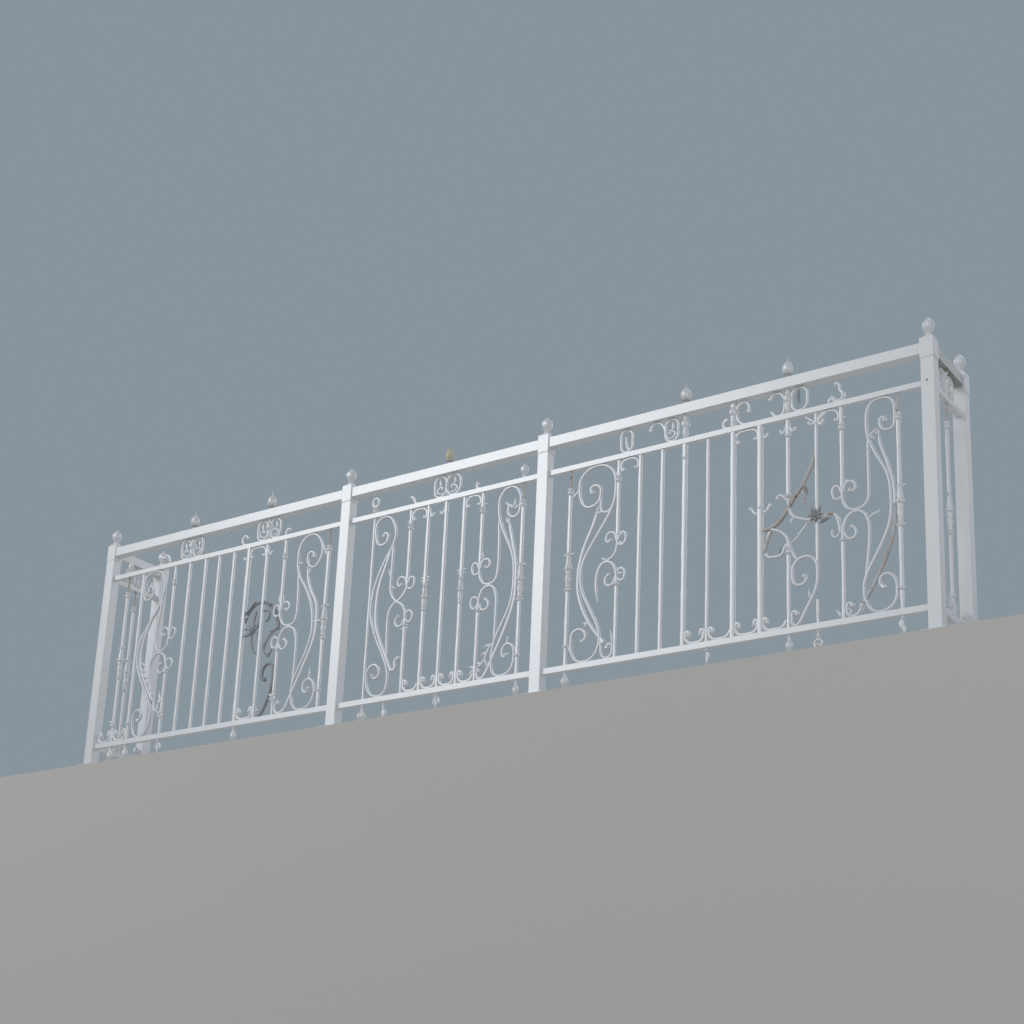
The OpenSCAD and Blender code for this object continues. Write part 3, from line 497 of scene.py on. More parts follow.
SCROLLS = {
    "bay_one_left": [
        ("main", [
            (264, 788), (252, 802), (262, 822), (288, 812), (290, 762), (236, 750), (224, 800), (224, 860),
            (255, 888), (330, 888), (358, 830), (356, 760), (325, 695), (255, 605), (228, 530), (226, 460),
            (255, 390), (340, 255), (352, 190), (325, 107), (262, 107), (240, 150), (240, 215), (268, 238),
            (292, 220), (290, 184), (262, 182),
        ]),
        ("vine", [
            (344, 742), (285, 640), (252, 560), (246, 480), (256, 430), (300, 340), (352, 262), (372, 212),
            (392, 212), (388, 244), (404, 262),
        ]),
        ("link", [
            (352, 770), (344, 680), (333, 600), (333, 530), (352, 494), (396, 494), (415, 530), (415, 600),
        ]),
        ("rise", [
            (415, 390), (415, 430), (392, 487), (336, 487), (312, 445), (318, 370), (345, 275), (384, 196),
        ]),
    ],
    "bay_one_right": [
        ("main", [
            (180, 776), (168, 792), (186, 812), (210, 800), (206, 750), (165, 726), (130, 770), (126, 830),
            (165, 888), (225, 888), (262, 840), (262, 725), (205, 650), (165, 560), (154, 490), (154, 430),
            (180, 350), (236, 245), (248, 180), (222, 107), (150, 107), (116, 150), (116, 205), (145, 242),
            (180, 225), (180, 178), (146, 176), (150, 204),
        ]),
        ("vine", [
            (206, 748), (200, 670), (140, 570), (134, 500), (134, 440), (150, 380), (210, 250), (280, 107),
            (330, 107), (330, 152), (300, 156),
        ]),
        ("link", [(256, 748), (247, 640), (245, 540), (255, 494), (312, 492), (341, 530), (341, 600)]),
        ("rise", [(341, 390), (341, 430), (318, 486), (258, 486), (238, 430), (235, 300), (244, 200)]),
        ("tie", [(130, 834), (114, 800), (104, 776)]),
        ("tie", [(154, 487), (128, 484), (106, 488)]),
        ("tie", [(102, 182), (118, 170)]),
        ("tendril", [(152, 234), (150, 252), (145, 264)]),
    ],
    "bay_two_left": [
        ("main", [
            (204, 792), (200, 818), (224, 812), (224, 768), (176, 758), (157, 810), (157, 858), (184, 888),
            (228, 888), (266, 830), (262, 760), (206, 680), (166, 575), (157, 510), (157, 460), (185, 375),
            (250, 250), (270, 190), (258, 107), (190, 107), (157, 160), (157, 225), (190, 250), (222, 230),
            (222, 184), (186, 184), (190, 208),
        ]),
        ("vine", [
            (256, 768), (230, 690), (190, 585), (182, 500), (186, 415), (215, 340), (252, 270), (280, 206),
            (302, 206), (297, 246), (312, 262), (320, 244),
        ]),
        ("link", [(256, 775), (254, 620), (252, 550), (275, 508), (325, 480), (338, 440), (338, 390)]),
        ("rise", [(338, 600), (338, 545), (310, 508), (262, 488), (247, 440), (250, 350), (257, 235)]),
        ("tendril", [(251, 580), (262, 564), (276, 566), (273, 553), (266, 556)]),
    ],
    "bay_two_right": [
        ("main", [
            (150, 788), (140, 808), (168, 808), (168, 760), (118, 752), (109, 800), (109, 850), (138, 888),
            (180, 888), (212, 850), (212, 770), (180, 690), (140, 610), (128, 545), (128, 450), (140, 385),
            (205, 262), (220, 200), (212, 107), (140, 107), (112, 145), (112, 215), (140, 238), (168, 220),
            (168, 178), (142, 180), (146, 198),
        ]),
        ("vine", [
            (166, 762), (140, 650), (118, 560), (118, 420), (140, 345), (185, 240), (240, 130), (258, 107),
            (282, 107), (282, 146), (264, 146),
        ]),
        ("link", [
            (211, 762), (204, 680), (203, 560), (210, 510), (230, 494), (268, 494), (293, 530), (293, 600),
        ]),
        ("rise", [(293, 390), (293, 440), (270, 488), (224, 488), (206, 440), (206, 300), (210, 235)]),
        ("tie", [(214, 248), (240, 215), (252, 172), (282, 156)]),
        ("tendril", [(148, 227), (146, 248), (142, 262)]),
    ],
    "bay_three_left": [
        ("main", [
            (230, 778), (212, 778), (212, 808), (258, 808), (258, 728), (185, 720), (162, 780), (162, 850),
            (210, 888), (280, 888), (324, 840), (324, 740), (300, 680), (215, 555), (178, 490), (178, 400),
            (215, 325), (262, 235), (272, 170), (240, 107), (170, 107), (144, 150), (144, 225), (175, 243),
            (208, 225), (208, 186), (184, 186),
        ]),
        ("vine", [
            (250, 726), (236, 660), (190, 570), (166, 480), (166, 390), (185, 325), (225, 245), (292, 162),
        ]),
        ("curl", [(273, 180), (278, 107), (324, 107), (324, 160), (300, 164), (300, 138)]),
        ("tie", [(258, 770), (258, 696), (290, 684), (314, 712)]),
        ("tie", [(335, 600), (335, 545), (325, 505), (290, 490)]),
        ("link", [(256, 330), (247, 380), (247, 440), (268, 487), (312, 487), (335, 440), (335, 390)]),
        ("tie", [(130, 778), (146, 786), (164, 812)]),
        ("tie", [(130, 178), (147, 148)]),
    ],
    "bay_three_right": [
        ("main", [
            (166, 792), (162, 816), (184, 816), (182, 766), (132, 762), (128, 800), (128, 860), (150, 888),
            (208, 888), (232, 850), (232, 760), (206, 695), (156, 600), (148, 540), (148, 440), (172, 372),
            (240, 250), (252, 212), (250, 160), (222, 107), (168, 107), (134, 140), (134, 212), (160, 242),
            (194, 236), (194, 190), (172, 190),
        ]),
        ("blade", [(186, 772), (190, 735), (158, 645), (136, 560), (134, 480)]),
        ("vine", [(136, 500), (134, 420), (158, 330), (203, 228), (258, 146)]),
        ("main", [(256, 150), (272, 107), (314, 107), (314, 158), (294, 158), (294, 136)]),
        ("link", [(228, 762), (227, 640), (227, 520), (250, 493), (300, 493), (325, 530), (325, 600)]),
        ("rise", [
            (325, 390), (325, 440), (300, 487), (250, 487), (227, 440), (228, 370), (236, 290), (247, 215),
        ]),
        ("tie", [(222, 752), (209, 770), (189, 777)]),
        ("tendril", [(229, 446), (218, 468), (200, 464)]),
    ],
}

# Curls that spring from a scroll bar where it is broken, read from that bar, with the low ring last

BREAK_CURLS = [
    ("curl", [(-3, 560), (-8, 600), (-44, 606), (-52, 568), (-28, 558), (-28, 578)]),
    ("tie", [(0, 560), (16, 600), (38, 590), (34, 548), (12, 540), (0, 556)]),
    ("curl", [(-2, 424), (-16, 388), (-48, 390), (-52, 428), (-26, 436)]),
    ("tie", [(0, 436), (16, 458), (38, 440), (32, 402), (12, 400), (0, 420)]),
]

# Drawn distance of each group's far bar, and whether the low ring is there

WAIST_CURLS = {
    "bay_one_left": (415, True), "bay_one_right": (341, True), "bay_two_left": (338, True),
    "bay_two_right": (293, True), "bay_three_left": (335, True), "bay_three_right": (325, False),
}

# How much wider than drawn the leaves of a scroll group are made
LEAF_FULLNESS = 1.3
# Stretch of the first bay's vine that carries a fern's leaves
FERN = [(248, 470), (256, 430), (300, 340), (352, 262)]

# Leaves of a scroll group: width and route, read from the same post as its strands

LEAVES = {
    "bay_one_left": [
        (18, [(258, 806), (262, 838), (290, 840)]), (14, [(246, 600), (226, 566), (232, 530)]),
        (14, [(404, 256), (418, 284), (436, 290)]), (14, [(404, 256), (388, 288), (394, 310)]),
    ],
    "bay_one_right": [
        (12, [(205, 700), (190, 720), (186, 742)]), (13, [(146, 228), (154, 258), (146, 290)]),
        (12, [(262, 775), (244, 760), (226, 768)]), (13, [(341, 600), (360, 622), (350, 644)]),
        (13, [(341, 600), (322, 622), (330, 644)]),
    ],
    "bay_two_left": [
        (10, [(338, 388), (322, 372), (312, 376)]), (10, [(338, 388), (354, 372), (364, 376)]),
        (11, [(254, 610), (240, 630), (240, 654)]),
    ],
    "bay_two_right": [
        (14, [(148, 796), (132, 816), (138, 840)]), (14, [(158, 800), (172, 818), (186, 830)]),
        (12, [(142, 792), (124, 794), (116, 808)]), (12, [(163, 735), (176, 750), (174, 766)]),
        (13, [(222, 238), (240, 244), (258, 232)]), (12, [(240, 210), (256, 212), (270, 200)]),
        (12, [(250, 186), (238, 168), (242, 150)]), (12, [(262, 166), (280, 178), (292, 172)]),
        (13, [(292, 152), (312, 168), (326, 160)]), (13, [(292, 150), (314, 142), (322, 128)]),
        (12, [(291, 600), (276, 622), (282, 640)]), (10, [(152, 345), (168, 336), (172, 318)]),
    ],
    "bay_three_left": [
        (12, [(322, 156), (326, 190), (310, 222)]), (12, [(246, 690), (260, 700), (276, 692)]),
        (11, [(216, 264), (202, 252), (188, 258)]), (11, [(214, 268), (206, 244), (196, 238)]),
        (12, [(338, 580), (354, 592), (368, 586)]), (12, [(338, 556), (356, 554), (364, 538)]),
        (13, [(336, 430), (354, 436), (364, 426)]), (11, [(290, 490), (276, 506), (262, 502)]),
    ],
    "bay_three_right": [
        (12, [(228, 760), (212, 750), (198, 736)]), (11, [(186, 772), (196, 758), (206, 756)]),
        (12, [(300, 600), (318, 614), (334, 606)]), (10, [(203, 464), (192, 474), (184, 468)]),
        (12, [(276, 116), (258, 124), (252, 146)]),
    ],
}

# Sprays between the bars of a bay, read from its left post. The first is in the left bay,
# between its stout bar and its last scroll bar, the second in the right bay.

LEFT_SPRAY = [
    ("shoot", [(958, 560), (958, 520), (923, 497), (900, 484), (873, 484)]),
    ("thorn", [(873, 515), (892, 515), (923, 496), (959, 478), (959, 430)]),
    ("tie", [(936, 589), (924, 540), (928, 510), (917, 474), (926, 430), (942, 392), (964, 392)]),
    ("tie", [(976, 583), (1000, 583), (1014, 578), (1014, 535), (992, 532)]),
    ("main", [
        (1022, 276), (1016, 262), (1000, 270), (1000, 335), (1062, 340), (1062, 215), (1010, 107),
        (986, 107),
    ]),
    ("thorn", [(1061, 489), (1026, 470), (1004, 436), (994, 398), (1014, 376), (1040, 384), (1042, 408)]),
    ("thorn", [(871, 588), (888, 593), (908, 618), (926, 634)]),
]
LEFT_ARCH = [(869, 540), (876, 590), (930, 636), (990, 622), (1046, 572), (1064, 520), (1061, 485)]
LEFT_SPRAY_LEAVES = [
    (11, [(923, 497), (938, 512), (944, 532)]), (11, [(923, 497), (906, 512), (902, 534)]),
    (12, [(1046, 478), (1034, 488), (1022, 478)]), (12, [(1018, 462), (1020, 446), (1006, 432)]),
    (12, [(1002, 438), (990, 424), (994, 408)]), (12, [(1014, 376), (1028, 368), (1040, 374)]),
    (12, [(1058, 330), (1072, 300), (1068, 262)]), (12, [(1000, 600), (1012, 612), (1028, 606)]),
]

LONG_BRANCH = [(1138, 760), (1132, 715), (1096, 640), (1040, 565), (1005, 510), (965, 485), (934, 485)]
SIDE_TWIG = [(1098, 640), (1086, 590), (1094, 550)]
BEADED_TWIG = [(1120, 487), (1105, 480), (1080, 450), (1060, 425), (1034, 410)]
RIGHT_BRANCHES = [
    ("branch", LONG_BRANCH),
    ("thorn", SIDE_TWIG),
    ("branch", [(1147, 485), (1164, 485), (1186, 503), (1206, 494)]),
    ("link", [(976, 486), (958, 462), (944, 424), (942, 392)]),
]
RIGHT_SPRAY = [
    ("shoot", [(1032, 590), (1032, 545), (1050, 512), (1112, 488), (1133, 488)]),
    ("curl", [(1032, 575), (1008, 606), (990, 606), (992, 586)]),
    ("shoot", [(960, 485), (1000, 470), (1030, 440), (1032, 400)]),
    ("shoot", [(1031, 418), (1014, 404), (1010, 376), (950, 376), (938, 410), (962, 478)]),
    ("thorn", BEADED_TWIG),
    ("shoot", [(1033, 425), (1038, 385), (1066, 348)]),
    ("main", [
        (1082, 284), (1100, 290), (1098, 254), (1048, 254), (1046, 354), (1138, 358), (1143, 240),
        (1100, 165), (1068, 107), (1044, 107), (1044, 162), (1064, 164), (1062, 140),
    ]),
    ("shoot", [(1150, 486), (1164, 485), (1186, 503), (1212, 490), (1226, 440), (1226, 414)]),
    ("tendril", [(1226, 420), (1212, 403), (1196, 406), (1198, 436)]),
]
RIGHT_DARK_LEAVES = [
    (14, [(1010, 376), (1000, 390), (1004, 410)]), (12, [(1150, 468), (1168, 478), (1196, 482)]),
    (12, [(1096, 612), (1108, 598), (1104, 582)]), (14, [(1140, 492), (1124, 516), (1118, 538)]),
    (12, [(1140, 494), (1152, 516), (1154, 540)]), (14, [(1076, 1000), (1070, 966), (1078, 934)]),
]
RIGHT_SPRAY_LEAVES = [
    (12, [(1118, 196), (1104, 214), (1108, 236)]), (11, [(1218, 478), (1232, 470), (1230, 452)]),
    (12, [(1052, 512), (1040, 500), (1042, 484)]), (10, [(1052, 330), (1038, 322), (1036, 306)]),
]
RIGHT_SPRAY_BEADS = [(1088, 595), (1071, 446), (1060, 426), (1000, 468), (1105, 480)]


def strand(kind, route, forward=0.0):
    """One strand of a kind along a route."""
    sizes = bpy.context.scene.railing_sizes
    thick, deep, start, end = KINDS[kind]
    return strip_part(route, thick * sizes.strip_thick, deep * sizes.strip_deep, (start, end), forward)


def strands_of(table):
    """Every strand of a table."""
    return [strand(kind, route) for kind, route in table]


def leaves_of(table, at_depth, fullness=1.0):
    """Every leaf of a table, at a depth, with its width times a fullness."""
    return [leaf_part(route, width * fullness, at_depth) for width, route in table]


def waist_curls(far, low_ring):
    """Curls and rings that spring from a scroll bar where it is broken: the table's routes,
    moved to the bar."""
    shapes = BREAK_CURLS if low_ring else BREAK_CURLS[:-1]
    return strands_of((kind, [(far + u, w) for u, w in route]) for kind, route in shapes)


def barbs(route, size, step):
    """Thorns along a route: short leaves that lean forward, on its two sides by turns."""
    line = flowing(route)
    way, across = directions(np.gradient(line, axis=0))
    parts = []
    for count, k in enumerate(range(step, len(line) - step, step)):
        out = across[k] * (-1 if count % 2 else 1)
        tip = line[k] + out * size + way[k] * size * 0.8
        parts.append(leaf_part([line[k], (line[k] + tip) / 2 + out * size * 0.15, tip], size * 0.6))
    return parts


def rosette_part(u, w, radius, at_depth, points=8):
    """Pointed rosette: rings that grow from the middle of its front to its rim and shrink again
    behind it. The radius rises to a point at each petal, and the front is domed."""
    a = np.linspace(0, 2 * math.pi, points * 12, endpoint=False)
    share = np.array([0.05, 0.2, 0.3, 0.42, 0.6, 0.8, 0.94, 1.0, 0.94, 0.6, 0.1])[:, None]
    depth = np.array([-9, -8.5, -7, -4, -5, -4.5, -2.5, 0, 2, 3, 3])[:, None]
    petal = 1 - 0.42 * np.abs(np.sin(points * a / 2)) ** 0.8
    reach = radius * share * (1 + (petal - 1) * share)
    return skin(grid(u + reach * np.cos(a), w + reach * np.sin(a), at_depth + depth))


PETALS = 6
BLOSSOM_DEPTH = -8.0


def blossom(u, w, size):
    """Flower on the front of a bar: petals that point outwards round a ball."""
    parts = [ball_part(u, w, size * 0.26, BLOSSOM_DEPTH - 1)]
    for angle in np.radians(np.arange(PETALS) * 360 / PETALS + 90):
        way = np.array([math.cos(angle), math.sin(angle)])
        route = [np.array([u, w]) + way * size * reach for reach in (0.15, 0.55, 1.0)]
        parts.append(leaf_part(route, size * 0.5, BLOSSOM_DEPTH))
    return parts


# Thickness and depth of the smaller strips
FOOT_STRIP = (10.5, 11)
HEAD_STRIP = (8, 9)
CURL_STRIP = (7.5, 9)
BAND_STRIP = (9, 9)
OVAL_STRIP = (8, 10)

# Ends of the low and high scrolls between two bars, read from a bar and from the rail

FOOT_CURL = [(24, 34), (26, 50), (14, 56), (9, 40), (12, 16), (28, 5)]
FOOT_STEM = [(8, 34), (14, 16), (28, 5)]
HEAD_HOOK = [(24, -38), (22, -52), (11, -50), (8, -26), (20, -8)]
HEAD_CURL = [(7, -12), (9, -40), (18, -54), (29, -50), (28, -34)]


def arch(left, right, level, start, end):
    """Route from bar to bar: its start is read from the left one, and its end, run backwards,
    from the right one."""
    head = [(left + u, level + w) for u, w in start]
    return head + [(right - u, level + w) for u, w in reversed(end)]


def foot_scroll(left, right, curled="both"):
    """Low C between two bars. A curled end rises along its bar and turns in to a ball, and the
    other just meets its bar."""
    start = FOOT_STEM if curled == "right" else FOOT_CURL
    end = FOOT_STEM if curled == "left" else FOOT_CURL
    parts = [strip_part(arch(left, right, FOOT_TOP, start, end), *FOOT_STRIP)]
    eyes = {"left": [left + 24], "right": [right - 24], "both": [left + 24, right - 24]}
    return parts + [ball_part(u, FOOT_TOP + 35, 9) for u in eyes[curled]]


def head_arch(left, right):
    """Arch under the sub rail between two bars, whose ends curl inwards."""
    crown = ((right - left) / 2, -4)
    route = arch(left, right, SUB_UNDER, [*HEAD_HOOK, crown], HEAD_HOOK)
    return strip_part(route, *HEAD_STRIP, ("bud", "bud"))


def head_curl(u, side):
    """Small curl that leaves a bar under the sub rail."""
    route = [(u + side * out, SUB_UNDER + up) for out, up in HEAD_CURL]
    return strip_part(route, *CURL_STRIP, ("point", "bud"))


def leaf_pair(u, w, reach=22, rise=8, width=10):
    """Two small leaves that spring from a bar at one height."""
    leaf = [(4, 0), (reach * 0.6, rise), (reach, rise * 0.4)]
    return [leaf_part([(u + side * out, w + up) for out, up in leaf], width) for side in (-1, 1)]


def knuckled_bar(u, width, seed):
    """Bar with its turned knuckle, its leaves and its collars, up to the knob under its pin."""
    parts = [bar_part(u, FOOT_TOP, PIN_FOOT, width, seed), turned_part(u, KNUCKLE_FOOT, KNUCKLE, sides=24)]
    parts += [turned_part(u, PIN_FOOT - 10, KNOB), turned_part(u, LOW_COLLAR, COLLAR)]
    parts += leaf_pair(u, KNUCKLE_FOOT + 146, 28, 10, 9)
    return parts + [ball_part(u + side * 13, KNUCKLE_FOOT + 8, 5) for side in (-1, 1)]


def band_oval(left, right, lean=0):
    """Upright oval of the band. One that leans to a side has a curl, a leaf and a bud inside."""
    parts = [ring_part(left, right, SUB_TOP, RAIL_UNDER, *OVAL_STRIP)]
    if lean:
        mid, reach = (left + right) / 2, lean * (right - left) / 2
        shape = [(0.75, 22), (0, 14), (-0.7, 32), (0.1, 52), (0.5, 44), (0.1, 34)]
        curl = [(mid + reach * out, SUB_TOP + up) for out, up in shape]
        leaf = [(mid, SUB_TOP + 52), (mid - reach * 0.25, SUB_TOP + 70), (mid, RAIL_UNDER - 10)]
        parts += [strip_part(curl, 6, 7, ("point", "bud")), leaf_part(leaf, 14)]
        parts.append(ball_part(mid + reach * 0.8, SUB_TOP + 18, 6))
    return parts


def band_stub(u, width):
    """Short bar through the band, with its vase."""
    return [bar_part(u, SUB_TOP, RAIL_UNDER, width, 3), turned_part(u, SUB_TOP, STUB)]


def oval_pair(u):
    """Two ovals that lean together, with a stub between them."""
    return band_oval(u - 69, u - 6, 1) + band_oval(u + 6, u + 69, -1) + band_stub(u, 10)


# Free curls of each band, from the bay's left post

CURLS = {
    "one": [
        [(372, 914), (366, 950), (350, 962), (334, 940), (318, 958), (306, 954)],
        [(856, 913), (816, 914), (812, 956), (846, 960), (846, 936)],
        [(1066, 913), (1074, 940), (1090, 946), (1094, 928)],
    ],
    "two": [
        [(368, 913), (350, 916), (347, 956), (328, 946)],
        [(684, 913), (662, 914), (662, 940), (674, 942)],
    ],
    "three": [
        [(576, 914), (540, 916), (534, 968), (514, 1006), (474, 1004), (468, 972)],
        [(808, 914), (772, 914), (774, 948), (796, 948)],
        [(892, 913), (848, 913), (826, 950), (832, 1002), (884, 1002), (876, 954)],
        [(966, 940), (980, 912), (1014, 912), (1024, 960), (1008, 1006), (966, 1004), (962, 978)],
        [
            (1188, 914), (1198, 948), (1206, 916), (1238, 916), (1246, 946), (1226, 958), (1238, 984),
            (1210, 986),
        ],
    ],
}


def band_parts(bay):
    """Everything that stands in the band of a bay, on its own working face."""
    parts = [strip_part(route, *BAND_STRIP, ("blunt", "bud")) for route in CURLS[bay]]
    if bay == "one":
        parts += oval_pair(507) + oval_pair(969)
        parts.append(turned_part(118, SUB_TOP, SLIM_BUD))
    if bay == "two":
        parts += band_oval(448, 514, 1) + band_oval(508, 586, -1)
        parts.append(leaf_part([(514, SUB_TOP), (508, 960), (515, RAIL_UNDER - 2)], 12))
        parts.append(ring_part(127, 165, SUB_TOP + 27, SUB_TOP + 74, 8, 9))
        parts += [turned_part(146, SUB_TOP, KNOB), ball_part(146, SUB_TOP + 37, 6)]
        parts.append(turned_part(892, SUB_TOP, smooth_outline(TULIP, 24), sides=32, lobes=6, depth=0.05))
    if bay == "three":
        parts += band_oval(338, 396) + band_oval(530, 592, -1) + band_oval(1044, 1112)
        parts.append(strip_part([(384, 914), (366, 930), (364, 980)], 7, 9, ("blunt", "bud")))
        parts += band_stub(618, 14) + band_stub(816, 18) + band_stub(1032, 12)
        parts.append(ball_part(804, 957, 5))
        parts += [leaf_part([(1224, 914), (1206, 930), (1196, 950)], 14),
                  leaf_part([(1236, 914), (1250, 930), (1254, 948)], 13)]
    return parts


# Length of a drop under the bottom rail
DROP_LENGTH = 68


def drop_parts(kind, u):
    """Drop that hangs under the bottom rail at u, from its collar down."""
    top = FOOT_UNDER
    low = top - DROP_LENGTH
    parts = [turned_part(u, top - 12, DROP_COLLAR)]
    if kind == "bud":
        parts.append(turned_part(u, low, smooth_outline(DROP_BUD, 24), sides=24))
    if kind == "bead":
        parts.append(turned_part(u, low + 6, smooth_outline(DROP_BEAD, 24), sides=24))
    if kind == "cone":
        parts.append(turned_part(u, low, smooth_outline(DROP_BEAD, 30), sides=64, lobes=8, depth=0.12))
    if kind == "blossom":
        parts.append(ball_part(u, top - 20, 8))
        for turn in (-1, 1):
            parts.append(leaf_part([(u, top - 14), (u + turn * 16, top - 26), (u + turn * 14, top - 50)], 14))
        parts.append(leaf_part([(u, top - 18), (u + 2, top - 40), (u, low)], 14, at_depth=-4))
    if kind == "spade":
        parts.append(bar_part(u, top - 34, top - 2, 6))
        parts.append(leaf_part([(u, top - 26), (u + 1, top - 46), (u, low)], 32))
    if kind == "ring":
        parts += [turned_part(u, top - 30, DROP_COLLAR), bar_part(u, top - 34, top - 2, 7)]
        parts += [ring_part(u - 17, u + 17, low, top - 32, 6, 9), ball_part(u, low + 16, 6)]
    if kind == "twig":
        parts.append(leaf_part([(u, top - 6), (u + 3, top - 34), (u - 1, low)], 12))
        parts.append(leaf_part([(u, top - 14), (u + 13, top - 24), (u + 10, top - 38)], 12))
    if kind == "leaf":
        parts.append(leaf_part([(u, top - 8), (u - 14, top - 28), (u + 8, top - 46), (u - 4, low)], 20))
    return parts


# Drops: bay, distance from its left post and kind. Buds on the top rails: bay and distance.

DROPS = [
    ("one", 118, "bud"), ("one", 213, "bud"), ("one", 415, "blossom"), ("one", 863, "bud"),
    ("two", 146, "cone"), ("two", 255, "spade"), ("two", 517, "blossom"), ("two", 892, "bud"),
    ("three", 121, "bead"), ("three", 713, "twig"), ("three", 1032, "bud"), ("three", 1140, "ring"),
    ("three", 1443, "leaf"),
]
CREST = [("one", 507), ("one", 969), ("two", 517), ("three", 618), ("three", 1032)]
# Width of the middle bay's bud, as a share of the others'
SLIMMER = 0.84


# Paints

# How fine each pattern of the paint is, in waves a metre
CLOUDS = 5.0
STREAKS = 26.0
RUNS = 34.0
SPOTS = 48.0
MOTTLE = 60.0
GRAIN = 420.0


def fed(tree, kind, values):
    """New node of a kind whose inputs are each set to a value or linked to a socket."""
    node = tree.nodes.new(kind)
    for name, value in values.items():
        if isinstance(value, bpy.types.NodeSocket):
            tree.links.new(value, node.inputs[name])
        else:
            node.inputs[name].default_value = value
    return node


def noise(tree, coords, scale, detail, rough=0.55, stretch=None):
    """Noise in the object's own metres, stretched by a mapping where one is given."""
    if stretch:
        coords = fed(tree, "ShaderNodeMapping", {"Vector": coords, "Scale": stretch}).outputs["Vector"]
    inputs = {"Vector": coords, "Scale": scale, "Detail": detail, "Roughness": rough}
    return fed(tree, "ShaderNodeTexNoise", inputs).outputs["Fac"]


def ramp(tree, value, low, high, out_low=0.0, out_high=1.0):
    """Smooth step of a value from one range to another."""
    inputs = {"Value": value, "From Min": low, "From Max": high, "To Min": out_low, "To Max": out_high}
    node = fed(tree, "ShaderNodeMapRange", inputs)
    node.interpolation_type = "SMOOTHSTEP"
    return node.outputs["Result"]


def mixed(tree, factor, one, two):
    """Mix of two colours, each a colour or a socket."""
    node = tree.nodes.new("ShaderNodeMix")
    node.data_type = "RGBA"
    tree.links.new(factor, node.inputs["Factor"])
    for name, value in (("A", one), ("B", two)):
        target = [s for s in node.inputs if s.name == name and s.type == "RGBA"][0]
        if isinstance(value, bpy.types.NodeSocket):
            tree.links.new(value, target)
        else:
            target.default_value = (*value, 1.0)
    return [s for s in node.outputs if s.type == "RGBA"][0]


def worked_out(tree, operation, one, two):
    """Result of a plain operation on two values, each a number or a socket."""
    node = fed(tree, "ShaderNodeMath", {0: one, 1: two})
    node.operation = operation
    return node.outputs["Value"]


def product(tree, one, two):
    """Product of two values, each a number or a socket."""
    return worked_out(tree, "MULTIPLY", one, two)


def enamel(name, paint, shade, soil_and_shade, bare, rust, soil_and_shade_amount, chip_level, gloss):
    """Brushed enamel on iron: cloudy tint, runs of dirt, a brown that is dirt and painted shade on faces
    that look down, and chips down to bare iron with a rusty edge, where a fine noise passes the chip level."""
    material = bpy.data.materials.new(name)
    material.use_nodes = True
    tree = material.node_tree
    shader = tree.nodes["Principled BSDF"]
    coords = tree.nodes.new("ShaderNodeTexCoord").outputs["Object"]
    cloud = noise(tree, coords, CLOUDS, 5.0)
    mottle = noise(tree, coords, MOTTLE, 4.0)
    colour = mixed(tree, ramp(tree, cloud, 0.35, 0.7), paint, shade)
    colour = mixed(tree, ramp(tree, mottle, 0.45, 0.75, 0.0, 0.5), colour, shade)
    runs = noise(tree, coords, RUNS, 4.0, 0.6, (1.0, 1.0, 0.12))
    colour = mixed(tree, ramp(tree, runs, 0.56, 0.78, 0.0, soil_and_shade_amount * 0.45), colour, soil_and_shade)
    # Faces that look down get the brown colour, broken up by streaks: this is dirt, and also painted shade on
    # undersides turned away from the light.
    normal = tree.nodes.new("ShaderNodeNewGeometry").outputs["Normal"]
    down = ramp(tree, fed(tree, "ShaderNodeSeparateXYZ", {"Vector": normal}).outputs["Z"], 0.1, -0.9)
    streaks = noise(tree, coords, STREAKS, 5.0, 0.6, (1.0, 1.0, 0.35))
    soil_and_shade_mask = product(tree, ramp(tree, streaks, 0.35, 0.65, 0.45, 1.0), product(tree, down, soil_and_shade_amount))
    colour = mixed(tree, soil_and_shade_mask, colour, soil_and_shade)
    spots = noise(tree, coords, SPOTS, 7.0, 0.72)
    halo = ramp(tree, spots, chip_level - 0.09, chip_level + 0.01, 0.0, 0.7)
    colour = mixed(tree, halo, colour, rust)
    chips = ramp(tree, spots, chip_level, chip_level + 0.03)
    colour = mixed(tree, chips, colour, bare)
    grain = product(tree, noise(tree, coords, GRAIN, 3.0), 0.35)
    height = worked_out(tree, "ADD", mottle, grain)
    height = worked_out(tree, "SUBTRACT", height, product(tree, chips, 0.6))
    bump = fed(tree, "ShaderNodeBump", {"Strength": 0.3, "Distance": 0.0007, "Height": height})
    tree.links.new(colour, shader.inputs["Base Color"])
    tree.links.new(ramp(tree, mottle, 0.3, 0.8, gloss, gloss + 0.25), shader.inputs["Roughness"])
    tree.links.new(bump.outputs["Normal"], shader.inputs["Normal"])
    return material


